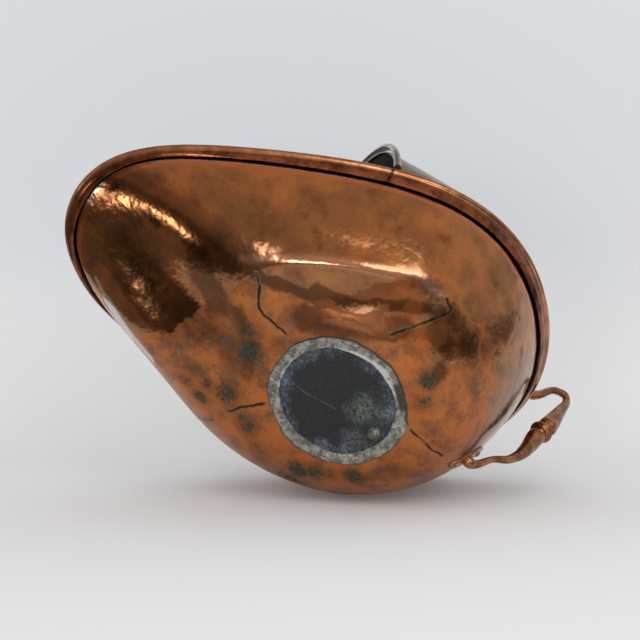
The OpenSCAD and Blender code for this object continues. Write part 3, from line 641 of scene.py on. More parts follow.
class SCUTTLE_OT_base(Operator):
    """Lumpy solder ring left by the lost foot, and the finish of the iron plate inside it"""
    bl_idname = "scuttle.base"
    bl_label = "Build base ring"

    def execute(self, context):
        s = settings("scuttle_body")
        a = np.arange(360)[:, None]*1.0
        level = np.concatenate([cosd(a), sind(a), 0*a], 1)[:, None]
        around = 0.05*level
        inner = (s.base_r - s.ring_w + 1.2*MM*ripple(around, 0.04, 21)
                 + 0.5*MM*ripple(around, 0.012, 22))
        outer = (s.base_r + 1.3*MM*ripple(around, 0.035, 23) + 0.7*MM*ripple(around, 0.009, 24)
                 + 2.4*MM*bell(a - 344, 6))
        # the section from the inner lip over the lumpy underside to the outer feather and back
        across = np.array([0, 0, 0.02, 0.06, 0.13, 0.22, 0.34, 0.46, 0.58, 0.7, 0.81, 0.9, 0.96,
                           1.0, 1.0, 0.8, 0.3])
        drop = np.array([-3.2, -2.2, -1.2, -0.6, -0.25, -0.12, -0.05, 0, 0, -0.05, -0.12, -0.3,
                         -0.7, -1.4, -2.6, -2.6, -2.6])*MM
        radius = inner[..., None].reshape(-1, 1) + (outer - inner).reshape(-1, 1)*across
        p = radius[..., None]*level
        lumps = 0.5*MM*(1 + ripple(p, 0.012, 25)) + 0.3*MM*(1 + ripple(p, 0.004, 26))
        soft = np.clip(np.sin(np.pi*np.clip(across, 0, 1))*2, 0, 1)*(np.arange(len(across)) < 14)
        blob = bell(far_from(p, 55, -13, 0), 7*MM)
        # a wiped bright ridge along the inner lip, brightest round one side of the ring as a
        # painted highlight, a bright blob, and a grimy part beside it
        lip = (bell(across - 0.14, 0.16)*(bump(a, 215, 345) + 0.5*bump(a, 100, 260) + 0.2)
               + 0.8*bell(across - 0.42, 0.2)*bump(a, 262, 318))
        lumps = lumps + 0.6*MM*(1 - np.minimum(lip, 1))
        p[..., 2] = -drop + soft*np.clip(lumps - 1.0*MM*blob, 0, 1.3*MM)
        # grimy beside the blob, a little at the opposite side, and darker along the outer edge
        grime = (bump(a, 290, 347)*step(across, 0.2, 0.45) + 0.3*bump(a, 60, 140)
                 + 0.9*step(across, 0.84, 0.97))
        piece("base_solder", [rings(p, wrap=True)], [solder()],
              ["base_solder_ring"], values={"lip": np.minimum(lip + 0.6*blob, 1),
                                            "grime": np.clip(grime - blob, 0, 1)})
        paint("base_plate", iron_plate())
        return {"FINISHED"}


def paint(node, material):
    """Gives a kept CAD node its finish."""
    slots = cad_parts[node].material_slots
    if not slots:
        raise RuntimeError("no material slot on " + node)
    for slot in slots:
        slot.material = material


# ---- rim ---------------------------------------------------------------------------------

def skirt_t(a):
    """How far up the body the skirt's foot hangs."""
    return 0.88 + 0.035*np.maximum(cosd(a), 0)**2


def skirt_point(a, k, off):
    """A place on the skirt as (outwards, up) from the rim's line: k is 0 under the bead and 1 at
    the foot, which hangs a clearance outside the body's wall; off is a height above it."""
    r = settings("scuttle_rim")
    t = skirt_t(a)
    d = body_out(a, t) + (r.skirt_gap + r.strip_t)*body_normal(a, t) - rim_point(a)
    foot = np.stack([(d*rim_out(a)).sum(-1), d[..., 2]], -1)
    top = np.array([-0.72, -1.28])*r.bead_r
    w = unit(foot - top)
    k, off = np.asarray(k)[..., None], np.asarray(off)[..., None]
    return top + k*(foot - top) + off*np.stack([-w[..., 1], w[..., 0]], -1)


def moulding_section(a):
    """The strip's outline at each angle as (outwards, up): skirt, round bead and inner edge, and
    the same again inside, a strip's thickness away."""
    r = settings("scuttle_rim")
    w = np.linspace(-65, 235, 31)
    bead = circle(w)
    k = np.linspace(1, 0, 11)
    # the strip is domed below the bead and drawn in between them
    swage = 0.8*MM*np.sin(np.pi*k) - 0.35*MM*bell(k - 0.1, 0.08)
    a, k, swage = a[:, None] + 0*k, k + 0*a[:, None], swage + 0*a[:, None]
    shift = np.array([-r.bead_r, 0])
    whole = np.zeros((len(a), 1, 1))
    return np.concatenate([skirt_point(a, k, swage), shift + r.bead_r*bead + whole,
                           (shift + (r.bead_r - r.strip_t)*bead)[::-1] + whole,
                           skirt_point(a, k, swage - r.strip_t)[:, ::-1]], axis=1)


def rim_sweep(section, a, uneven, seed):
    """A section carried round the rim, uneven by ripples that grow down the skirt."""
    p = on_rim(a[:, None], section[..., 0], section[..., 1])
    out = rim_out(a)[:, None]
    grow = 0.35 + np.clip(-section[..., 1]/(12*MM), 0, 1)
    shake = uneven*(ripple(p, 0.05, seed) + 0.5*ripple(p, 0.016, seed + 1))*grow
    return p + shake[..., None]*out


class SCUTTLE_OT_rim(Operator):
    """Rim moulding in two lengths, its seam and joints, and the wire inside it"""
    bl_idname = "scuttle.rim"
    bl_label = "Build rim"

    def execute(self, context):
        r = settings("scuttle_rim")
        b = settings("scuttle_body")
        copper = copper_rim()
        grey = solder()
        for name, lo, hi in (("front", r.joint, 360 - r.joint), ("rear", -r.joint, r.joint)):
            a = np.linspace(lo, hi, 521)
            node = "rim_moulding_" + name
            section = moulding_section(a)
            p = rim_sweep(section, a, r.dints, 31)
            values = {"skirt": step(-section[..., 1], 1.0*r.bead_r, 1.6*r.bead_r),
                      "joint": np.minimum(abs(a - lo), abs(a - hi))[:, None] + 0*p[..., 0]}
            piece("copper_rim_" + name, [rings(p)], [copper], [node],
                  values=values)
        a = np.arange(480)*0.75
        w = np.array([245, 232, 220, 208])
        seam = np.concatenate([
            [-r.bead_r, 0] + (r.bead_r + SEAM_GAP)*circle(w),
            [[-b.edge_in + SEAM_GAP, -b.edge_down],
             [-b.edge_in + 2*SEAM_GAP, -b.edge_down - 1*MM]]])
        p = rim_sweep(seam, a, 0.1*MM, 31)
        piece("rim_seam", [rings(p, wrap=True)], [grey], ["rim_seam_solder"])
        parts = []
        for side in (-1, 1):
            across, down = pairs(*2*[np.linspace(-1, 1, 13)])
            a = side*r.joint + (0.22 + 0.08*down)*across
            k = 0.5 + 0.45*down
            dome = 0.35*MM*np.clip((1 - across**4)*(1 - down**4), 0, 1)**0.5
            front, back = skirt_point(a, k, 0.08*MM + dome), skirt_point(a, k, -0.3*MM + 0*dome)
            parts.append(shell(on_rim(a, front[..., 0], front[..., 1]),
                               on_rim(a, back[..., 0], back[..., 1])))
        dull = {"grime": np.full(sum(len(p) for p, f in parts), 0.85)}
        piece("rim_joints", parts, [grey], ["rim_joint_solder"], values=dull)
        paint("rim_wire", iron_wire())
        return {"FINISHED"}


# ---- hood --------------------------------------------------------------------------------

def hood_base():
    """Inset and height of the hood's foot on the rim."""
    b = settings("scuttle_body")
    return -(b.edge_in + HOOD_INSET), -b.edge_down + 2*SEAM_GAP


def hood_share(a):
    """How far back along the hood an angle lies, 0 at the mouth and 1 at the back."""
    n, z = hood_base()
    mouth, back = on_rim(settings("scuttle_hood").angle0, n, z), on_rim(0.0, n, z)
    return np.maximum(0, (on_rim(a, n, z)[..., 0] - mouth[0])/(back[0] - mouth[0]))


def hood_face(a, u, inner=0.0):
    """A section across the hood: y is a power of the cosine and z a power of the sine, so that
    it is a fuller or slimmer arch; its height falls from the mouth to the back, and it leans
    forward with its height."""
    h = settings("scuttle_hood")
    a, u = np.broadcast_arrays(np.asarray(a, float), np.asarray(u, float))
    n, z = hood_base()
    s = hood_share(a)
    f = on_rim(a, n - inner, z)
    e = 2/(h.throat + (h.full - h.throat)*(1 - np.minimum(s, 1))**h.rate)
    top = h.h*np.maximum(0, 1 - s**1.5)**h.slope - inner
    rise = top*np.maximum(0, sind(u))**e
    return np.stack([f[..., 0] - h.lean*rise*(1 - s), -f[..., 1]*power(cosd(u), e),
                     f[..., 2] + rise], -1)


def hood_normal(a, u):
    """Cross product of the hood's differences along and across it."""
    h = settings("scuttle_hood")
    du = hood_face(a, np.minimum(u + 3, 180)) - hood_face(a, np.maximum(u - 3, 0))
    da = hood_face(np.maximum(a - 1.5, 0.5), u) - hood_face(np.minimum(a + 1.5, h.angle0), u)
    return unit(np.cross(da, du))


def hood_off(a, u, off):
    """Places a height above the hood."""
    return hood_face(a, u) + np.asarray(off)[..., None]*hood_normal(a, u)


def mouth_shift(u):
    """How far the mouth's right side is knocked forward of its left side."""
    return -6*MM*step(np.asarray(u, float), 80, 125)[:, None]*np.array([1, 0, 0])


class SCUTTLE_OT_hood(Operator):
    """Hood sheet, its rolled and wired edge and the seam along its foot"""
    bl_idname = "scuttle.hood"
    bl_label = "Build hood"

    def execute(self, context):
        h = settings("scuttle_hood")
        u = np.linspace(0, 180, 121)
        # the sheet runs on under the roll
        first = h.angle0 + 0.9
        a = first + (h.last - first)*np.linspace(0, 1, 152)**1.3
        aa, uu = pairs(a, u)
        outer, inner = hood_face(aa, uu), hood_face(aa, uu, h.sheet_t)
        # behind the last section the sheet runs down flat onto the rim
        n, z = hood_base()
        tail = -(h.last - 1)*power(cosd(u), 1.1)
        ends = (on_rim(tail, n, z + 1.3*h.sheet_t),
                on_rim(tail, n - 0.4*h.sheet_t, z + 0.3*h.sheet_t))
        k = np.linspace(0, 1, 9)[1:, None, None]
        outer = np.concatenate([outer, outer[-1] + k*(ends[0] - outer[-1])])
        inner = np.concatenate([inner, inner[-1] + k*(ends[1] - inner[-1])])
        shift = mouth_shift(u)*np.clip(1 - np.linspace(0, 2.5, len(outer)), 0, 1)[:, None, None]
        outer, inner = outer + shift, inner + shift
        share = np.minimum(1, sind(u)*4)[None, :, None]
        back = np.minimum(1, np.linspace(3, 0, len(outer)))[:, None, None]
        lift = (0.5*MM*ripple(outer, 0.07, 41) + 0.22*MM*ripple(outer, 0.024, 43))[..., None]
        front = np.clip((h.angle0 - 1 - np.append(a, np.zeros(8)))/4, 0, 1)[:, None, None]
        way = share*back*front*lift*grid_normal(outer, False)
        grid = np.concatenate([outer + way, (inner + way)[:, ::-1]], axis=1)
        points, faces = rings(grid)
        inside = np.zeros(len(faces), bool)
        m = grid.shape[1]
        inside[:(len(grid) - 1)*m] = (np.arange((len(grid) - 1)*m) % m) >= len(u) - 1
        piece("hood_copper", [(points, faces)], [copper_hood(), blackened_inside()],
              ["hood_sheet"], inside=inside)
        self.roll(h)
        edge_down = settings("scuttle_body").edge_down
        n = n - h.sheet_t - SEAM_GAP
        seam = np.array([[n, 1.4*MM], [n - 0.8*MM, 0.2*MM], [n - 1.35*MM, -1.6*MM],
                         [n, -edge_down - SEAM_GAP]])
        a = np.linspace(1 - h.angle0, h.angle0 - 1, 240)
        piece("hood_seam", [rings(rim_sweep(seam, a, 0.15*MM, 45))], [solder()],
              ["hood_seam_solder"])
        return {"FINISHED"}

    def roll(self, h):
        """The mouth's edge rolled outwards over a wire: an open round strip carried across it."""
        clear = np.degrees(np.arcsin(CORNER_ROOM/h.h))
        u = np.linspace(clear + 2.2, 180 - clear, 150)
        a = np.full_like(u, h.angle0)
        n = hood_normal(a, u)
        across = hood_face(a, np.minimum(u + 2, 180)) - hood_face(a, np.maximum(u - 2, 0))
        ahead = unit(np.cross(across, n))
        strip = circle(np.linspace(-100, 205, 22))
        ring = np.concatenate([h.roll_r*strip, (h.roll_r - h.sheet_t)*strip[::-1]])
        p = (hood_face(a, u)[:, None] + (ring[:, :1] - h.roll_r)*ahead[:, None]
             + (ring[:, 1:] + h.roll_r + 0.15*MM)*n[:, None])
        p = p + 0.12*MM*ripple(p, 0.02, 47)[..., None]*n[:, None] + mouth_shift(u)[:, None]
        middle = hood_face(a, u) + (h.roll_r + 0.15*MM)*n - h.roll_r*ahead + mouth_shift(u)
        piece("hood_roll", [rings(p)], [tinned_edge()],
              ["hood_edge_roll"])
        w = np.arange(20)*18.0
        around = (h.roll_r - h.sheet_t - 0.2*MM)*(cosd(w)[None, :, None]*ahead[:, None]
                                                  + sind(w)[None, :, None]*n[:, None])
        piece("hood_wire", [rings(middle[:, None] + around)], [iron_wire()],
              ["hood_edge_wire"])


# ---- handles -----------------------------------------------------------------------------

def smooth(c):
    """A Catmull-Rom curve through the control points, each with its radius as third number, in
    nine steps between two of them."""
    c = np.array(c, float)
    e = np.concatenate([c[:1], c, c[-1:]])
    t = np.linspace(0, 1, 9, endpoint=False)[None, :, None]
    a, b, d, f = (e[i:len(c) - 1 + i, None] for i in range(4))
    curve = 0.5*(2*b + (d - a)*t + (2*a - 5*b + 4*d - f)*t**2 + (3*b - a - 3*d + f)*t**3)
    return np.concatenate([curve.reshape(-1, 3), c[-1:]])


def bar(control, seed):
    """(points, faces) of a round cast bar along a curve in the XZ plane, slightly uneven."""
    c = smooth(control)
    d = np.gradient(c[:, :2], axis=0)
    t = unit(np.stack([d[:, 0], 0*d[:, 0], d[:, 1]], -1))
    side = np.stack([-t[:, 2], 0*t[:, 0], t[:, 0]], -1)
    sides = 28
    w = np.arange(sides)*360/sides
    ring = cosd(w)[None, :, None]*side[:, None] + sind(w)[None, :, None]*np.array([0, 1, 0])
    mid = np.stack([c[:, 0], 0*c[:, 0], c[:, 1]], -1)[:, None]
    p = mid + c[:, 2, None, None]*ring
    rough = 1 + 0.035*ripple(p, 0.012, seed) + 0.02*ripple(p, 0.005, seed + 1)
    return mid + (p - mid)*rough[..., None]


def lean(p):
    """Turns points of the upright handle plane about the level line through the upper foot."""
    s, r = settings("scuttle_handles"), settings("scuttle_rim")
    z0 = r.back_z - PIVOT_DROP
    c, n = cosd(s.lean), sind(s.lean)
    y, z = p[..., 1], p[..., 2] - z0
    return np.stack([p[..., 0], y*c - z*n, z0 + y*n + z*c], -1)


def in_plane(p):
    """Where a point lies in the handle's own plane, as (x, z)."""
    s, r = settings("scuttle_handles"), settings("scuttle_rim")
    z0 = r.back_z - PIVOT_DROP
    return np.array([p[0], z0 - p[1]*sind(s.lean) + (p[2] - z0)*cosd(s.lean)])


def ridge_angle(share):
    """The angle round the rim whose hood section lies that share of the way back."""
    return bisect(lambda a: hood_share(a) > share, 0.0, settings("scuttle_hood").angle0)


def ridge(share, off):
    """The place a height above the hood's ridge, that share of the way back."""
    return hood_off(ridge_angle(share), 90.0, off)


def ridge_normal(share):
    """Normal of the hood at its ridge in the upright handle plane, as (x, z)."""
    return hood_normal(ridge_angle(share), 90.0)[[0, 2]]


def leaf_width(v):
    """Half width of a pointed leaf along its length from -1 to 1."""
    return np.maximum(0.03, np.maximum(0, 1 - v*v)**0.8)


def leaf_plate(place):
    """(points, faces) of a leaf: place gives a point at v along it, w across it and a height off
    the sheet. Its edge is thin and a rib runs along its middle."""
    s = settings("scuttle_handles")
    v, w = pairs(np.linspace(-1, 1, 61), np.linspace(-1, 1, 21))
    body = s.leaf_gap + s.leaf_t*(0.45 + 0.55*np.maximum(0, 1 - w**4)**0.5)
    rib = 0.7*MM*bell(w*leaf_width(v), 0.13)*np.maximum(0, 1 - v*v)
    veins = 0.12*MM*np.cos(9*np.pi*(v + 0.35*np.abs(w)))*(1 - np.abs(w))
    return shell(place(v, w, body + rib + veins), place(v, w, 0*v))


def ridge_leaf(share):
    """A leaf across the hood's ridge."""
    a = ridge_angle(share)
    da = np.linalg.norm(hood_face(a + 0.5, 90.0) - hood_face(a - 0.5, 90.0))
    du = np.linalg.norm(hood_face(a, 92.0) - hood_face(a, 88.0))/4

    half_l, half_w = RIDGE_LEAF

    def place(v, w, off):
        return hood_off(a + w*half_w*leaf_width(v)/da, 90 + v*half_l/du + 0*w, off)
    return place


def lower_leaf():
    """Where the rear handle's plane meets the body, and a leaf up the wall there."""
    s = settings("scuttle_handles")
    mid_t = 0.47
    z0 = settings("scuttle_rim").back_z - PIVOT_DROP

    def left(a):
        p = body_out(a, mid_t)
        return p[1]*cosd(s.lean) + (p[2] - z0)*sind(s.lean) <= 0
    a = bisect(left, -20.0, 20.0)
    rise = np.linalg.norm(body_out(a, mid_t + 0.05) - body_out(a, mid_t - 0.05))/0.1
    turn = np.linalg.norm(body_out(a + 1, mid_t) - body_out(a - 1, mid_t))/2

    def place(v, w, off):
        aa = a + w*s.leaf_half_w*leaf_width(v)/turn
        tt = mid_t + v*s.leaf_half_h/rise + 0*aa
        return body_out(aa, tt) + off[..., None]*body_normal(aa, tt)
    return place


def knop(base, axis, radius, span, end_r):
    """(points, faces) of a turned knop: the greatest of a neck, a flat round belly and a small
    torus at each end."""
    z = np.linspace(-span/2, span/2, 97)
    ring = 0.11*span
    belly = radius*np.sqrt(np.maximum(0, 1 - (z/(0.42*radius))**2))
    torus = end_r - ring + np.sqrt(np.maximum(0, ring**2 - (np.abs(z) - span/2 + ring)**2))
    torus = np.where(np.abs(z) > span/2 - 2*ring, torus, 0)
    r = np.maximum(np.maximum(belly, torus), 0.6*end_r)
    r = np.convolve(np.pad(r, 2, mode="edge"), np.ones(5)/5, mode="valid")
    profile = [(z[0], 1e-5)] + list(zip(z, r)) + [(z[-1], 1e-5)]
    return lathe(profile, base, axis, 56)


def rivet(base, normal, through):
    """(points, faces) of a rivet: a hammered dome, its shank, and a small head inside."""
    s = settings("scuttle_handles")
    w = np.linspace(90, 0, 11)
    grip = s.leaf_t + s.leaf_gap - 0.1*MM
    head = [(1.9*MM*sind(q), max(1e-5, s.rivet_head_r*cosd(q))) for q in w]
    shank = [(0.0, s.rivet_r), (-grip, s.rivet_r)]
    if through:
        t = s.leaf_t + s.leaf_gap + 0.9*MM
        shank = [(0.0, s.rivet_r), (-t - 0.3*MM, s.rivet_r), (-t - 0.3*MM, s.rivet_r + 0.9*MM),
                 (-t - 1.2*MM, s.rivet_r + 0.5*MM)]
    return lathe(head + shank + [(shank[-1][0] - 0.02*MM, 1e-5)], base, normal, 24)


def stand(share_place, v, off):
    """A point on a leaf's middle line and the sheet's direction there."""
    p = share_place(np.array([v]), np.array([0.0]), np.array([off]))[0]
    q = share_place(np.array([v]), np.array([0.0]), np.array([off + 1*MM]))[0]
    return p, unit(q - p)


class SCUTTLE_OT_rear_handle(Operator):
    """Cast rear handle: two arms with their leaves, the knop and the rivets"""
    bl_idname = "scuttle.rear_handle"
    bl_label = "Build rear handle"

    def execute(self, context):
        s, r = settings("scuttle_handles"), settings("scuttle_rim")
        k, q = s.reach/DRAWN_REACH, s.arm_r/DRAWN_ARM
        half = s.leaf_gap + 0.5*s.leaf_t

        def at(x, z, rad):
            return (r.back + k*x, r.back_z + k*z, q*rad)
        knop_at = np.array([r.back + 22*k, r.back_z - 28*k])
        way = np.array([0.27, 0.96])/np.hypot(0.27, 0.96)
        end = s.knop_l/2 + SEAM_GAP
        upper_end, upper_bell = knop_at + end*way, knop_at + (s.knop_l/2 + 6*MM)*way
        lower_end, lower_bell = knop_at - end*way, knop_at - (s.knop_l/2 + 5*MM)*way
        root, root_n = ridge(s.root_place, half)[[0, 2]], ridge_normal(s.root_place)
        upper = [(*root, q*5.6), (*(root + 4*k*root_n), q*4.9),
                 (root[0] + 9*k, root[1] + 10.5*k, q*4.5)]
        upper += [at(*p) for p in (
            (-6, 12.6, 4.4), (0.6, 11.6, 4.6), (4.8, 14.6, 4.3), (9.6, 20.8, 3.9), (15, 31, 3.5),
            (21, 37.2, 3.4), (30.2, 38.8, 3.6), (34, 30, 3.7), (31.5, 14.5, 5.4), (29, 0.3, 7.1))]
        upper += [(upper_bell[0] + 0.4*MM, upper_bell[1], s.trumpet_r),
                  (*(upper_end + 2.2*MM*way), s.trumpet_r - 0.9*MM),
                  (*upper_end, s.trumpet_r - 3.6*MM)]
        leaf = lower_leaf()
        foot, foot_way = stand(leaf, 0.0, half)
        foot, tip = in_plane(foot), in_plane(foot + 1*MM*foot_way)
        foot_n = unit(tip - foot)
        lower = [(*lower_end, s.trumpet_r - 3.6*MM),
                 (*(lower_end - 1.8*MM*way), s.trumpet_r - 1.2*MM),
                 (*lower_bell, s.trumpet_r - 0.7*MM)]
        lower += [at(*p) for p in (
            (16.5, -53.6, 7), (13.7, -66, 5.7), (9.8, -76, 4.5), (3, -87, 3.6),
            (-8.5, -97.2, 2.9))]
        lower += [(foot[0] + 10*k, foot[1] + 2.5*k, q*3.6),
                  (*(foot + 4.5*k*foot_n), q*4.8), (*foot, q*5.4)]
        cast = copper_handle()
        root_leaf = ridge_leaf(s.root_place)
        piece("rear_arm_upper", [rings(lean(bar(upper, 51))), leaf_plate(root_leaf)],
              [cast], ["rear_handle_upper_arm"])
        piece("rear_arm_lower", [rings(lean(bar(lower, 53))), leaf_plate(leaf)],
              [cast], ["rear_handle_lower_arm"])
        mid = lean(np.array([knop_at[0], 0, knop_at[1]]))
        axis = lean(np.array([knop_at[0] + way[0], 0, knop_at[1] + way[1]])) - mid
        piece("rear_knop", [knop(mid, axis, s.knop_r, s.knop_l, s.trumpet_r - 1.6*MM)], [cast],
              ["rear_handle_knop"])
        off = s.leaf_gap + s.leaf_t
        parts = [rivet(*stand(leaf, v, off), False) for v in RIVETS_AT]
        parts += [rivet(*stand(root_leaf, v, off), True) for v in RIVETS_AT]
        piece("rear_rivets", parts, [copper_rivet()], ["rear_handle_rivets"])
        paint("rear_handle_tie_rod", iron_wire())
        return {"FINISHED"}


class SCUTTLE_OT_top_handle(Operator):
    """Carrying handle on the hood, in the style of the rear one"""
    bl_idname = "scuttle.top_handle"
    bl_label = "Build carrying handle"

    def execute(self, context):
        s = settings("scuttle_handles")
        q, rise = s.arm_r/DRAWN_ARM, s.top_rise/DRAWN_RISE
        half = s.leaf_gap + 0.5*s.leaf_t
        front = ridge(s.top_start, half)
        end = bisect(lambda m: np.linalg.norm(ridge(m, half) - front) <= s.top_span,
                     s.top_start, 0.95)
        rear = ridge(end, half)
        way = unit(rear[[0, 2]] - front[[0, 2]])
        up = np.array([-way[1], way[0]])
        grip = front[[0, 2]] + s.top_span/2*way + s.top_rise*up
        trumpet = s.trumpet_r - 0.6*MM
        cast = copper_handle()
        leaves = []
        for name, share, foot, sign, seed in (("front", s.top_start, front, 1, 55),
                                              ("rear", end, rear, -1, 57)):
            b = foot[[0, 2]]
            n = rise*ridge_normal(share)
            d = sign*rise*way
            j = grip - sign*(TOP_KNOP_L/2 + SEAM_GAP)*way
            curve = [(*c, rad) for c, rad in (
                (b, 4.6*q), (b + 2.5*n, 5*q), (b + 7*n, 4.2*q), (b + 18*n - 3*d, 3.4*q),
                (b + 32*n + 2*d, 3.6*q), (j - 24*d - 0.5*rise*up, 4.6*q), (j - 11*d, 6.8*q),
                (j - 3.5*d, trumpet), (j, trumpet - 1.2*MM))]
            leaf = ridge_leaf(share)
            leaves.append(leaf)
            piece("top_arm_" + name, [rings(bar(curve, seed)), leaf_plate(leaf)],
                  [cast], ["top_handle_" + name + "_arm"])
        mid = np.array([grip[0], 0, grip[1]])
        piece("top_knop", [knop(mid, [way[0], 0, way[1]], s.knop_r - 1*MM, TOP_KNOP_L,
                                trumpet - 1.4*MM)],
              [cast], ["top_handle_knop"])
        off = s.leaf_gap + s.leaf_t
        parts = [rivet(*stand(leaf, v, off), True) for leaf in leaves for v in RIVETS_AT]
        piece("top_rivets", parts, [copper_rivet()], ["top_handle_rivets"])
        paint("top_handle_tie_rod", iron_wire())
        return {"FINISHED"}


# ---- materials ---------------------------------------------------------------------------

MATH, VECTOR, LIGHT_PATH = "ShaderNodeMath", "ShaderNodeVectorMath", "ShaderNodeLightPath"

# The kinds of node in use: Blender's type, its settings, the sockets that its inputs go to in
# order, and the output that is taken.
KINDS = {
    "place": ("ShaderNodeTexCoord", {}, (), "Object"),
    "direction": ("ShaderNodeTexCoord", {}, (), "Generated"),
    "value": ("ShaderNodeAttribute", {}, (), "Fac"),
    "noise": ("ShaderNodeTexNoise", {}, ("Vector", "Scale", "Detail", "Roughness"), 0),
    "waver": ("ShaderNodeTexNoise", {}, ("Vector", "Scale"), "Color"),
    "ramp": ("ShaderNodeMapRange", {"interpolation_type": "SMOOTHSTEP"},
             ("Value", "From Min", "From Max"), 0),
    "clamp": ("ShaderNodeClamp", {}, ("Value",), 0),
    "mix": ("ShaderNodeMix", {"data_type": "RGBA"}, (0, 6, 7), 2),
    "minimum": (MATH, {"operation": "MINIMUM"}, (0, 1), 0),
    "maximum": (MATH, {"operation": "MAXIMUM"}, (0, 1), 0),
    "less": (MATH, {"operation": "SUBTRACT"}, (0, 1), 0),
    "times": (MATH, {"operation": "MULTIPLY"}, (0, 1), 0),
    "times plus": (MATH, {"operation": "MULTIPLY_ADD"}, (0, 1, 2), 0),
    "apart": (VECTOR, {"operation": "SUBTRACT"}, (0, 1), 0),
    "along": (VECTOR, {"operation": "DOT_PRODUCT"}, (0, 1), "Value"),
    "scaled": (VECTOR, {"operation": "SCALE"}, (0, "Scale"), 0),
    "distance": (VECTOR, {"operation": "DISTANCE"}, (0, 1), "Value"),
    "length": (VECTOR, {"operation": "LENGTH"}, (0,), "Value"),
    "carried": (VECTOR, {"operation": "MULTIPLY_ADD"}, (0, 1, 2), 0),
    "bump": ("ShaderNodeBump", {}, ("Height", "Strength", "Distance"), 0),
    "metal": ("ShaderNodeBsdfPrincipled", {}, ("Base Color", "Metallic", "Roughness", "Normal"),
              0),
    "matte": ("ShaderNodeBsdfDiffuse", {}, ("Color",), 0),
    "glow": ("ShaderNodeEmission", {}, ("Color", "Strength"), 0),
    "clear": ("ShaderNodeBsdfTransparent", {}, (), 0),
    "either": ("ShaderNodeMixShader", {}, (0, 1, 2), 0),
    "behind": ("ShaderNodeNewGeometry", {}, (), "Backfacing"),
    "seen": (LIGHT_PATH, {}, (), "Is Camera Ray"),
    "mirrored": (LIGHT_PATH, {}, (), "Is Glossy Ray"),
    "refracted": (LIGHT_PATH, {}, (), "Is Transmission Ray"),
    "scattered": (LIGHT_PATH, {}, (), "Is Diffuse Ray"),
    "background": ("ShaderNodeBackground", {}, ("Color", "Strength"), 0),
    "surface": ("ShaderNodeOutputMaterial", {}, ("Surface",), None),
    "world": ("ShaderNodeOutputWorld", {}, ("Surface",), None),
}


def node(tree, kind, *inputs, **values):
    """Adds one node of a kind and gives its output. inputs are numbers, colours or other nodes'
    outputs; values are further settings."""
    name, fixed, sockets, output = KINDS[kind]
    n = tree.nodes.new(name)
    for key, value in {**fixed, **values}.items():
        setattr(n, key, value)
    for socket, value in zip(sockets, inputs):
        if isinstance(value, bpy.types.NodeSocket):
            tree.links.new(value, n.inputs[socket])
        else:
            n.inputs[socket].default_value = value
    return None if output is None else n.outputs[output]


def empty(owner):
    """Clears the nodes of a material or world. Gives the function that adds nodes to it."""
    owner.use_nodes = True
    owner.node_tree.nodes.clear()
    return functools.partial(node, owner.node_tree)


def material(name):
    """Turns a function that lays out nodes into one that gives the material of that name, made
    on the first call. The layout gets the node adder, the finish colours and the place."""
    def wrap(lay_out):
        @functools.wraps(lay_out)
        def give():
            if name not in bpy.data.materials:
                add = empty(bpy.data.materials.new(name))
                lay_out(add, settings("scuttle_finish"), add("place"))
            return bpy.data.materials[name]
        return give
    return wrap


def per(mm):
    """Pattern scale for a feature of that many millimetres in Object coordinates."""
    return 1/(mm*MM)


def total(add, start, *parts):
    """start plus each part times its share."""
    for part, share in parts:
        start = add("times plus", part, share, start)
    return start


def shaken(add, value, pattern, by):
    """A value made ragged: a pattern from 0 to 1 shifts it up and down by half of by."""
    return add("times plus", add("less", pattern, 0.5), by, value)


def coats(add, col, *layers):
    """Lays colours over col. A layer is a strength, a tint and masks that are multiplied; a mask
    is an output from 0 to 1 or (pattern, lo, hi), which is 0 at lo and 1 at hi."""
    for share, tint, *masks in layers:
        for mask in masks:
            share = add("times", add("ramp", *mask) if isinstance(mask, tuple) else mask, share)
        col = add("mix", share, col, tint)
    return col


def near_lines(add, where, *lines):
    """Distance of a place from lines through corners, as the least of their straight pieces'."""
    least = FAR
    for corners in lines:
        for p, q in zip(corners[:-1], corners[1:]):
            way = q - p
            rel = add("apart", where, p)
            k = add("clamp", add("along", rel, way/(way @ way)))
            least = add("minimum", least, add("distance", rel, add("scaled", way, k)))
    return least


def finish(add, col, metal, rough, height, strength, distance):
    """The metal's shader with a bump up to that distance in metres, and the output."""
    add("surface", add("metal", col, metal, rough, add("bump", height, strength, distance)))


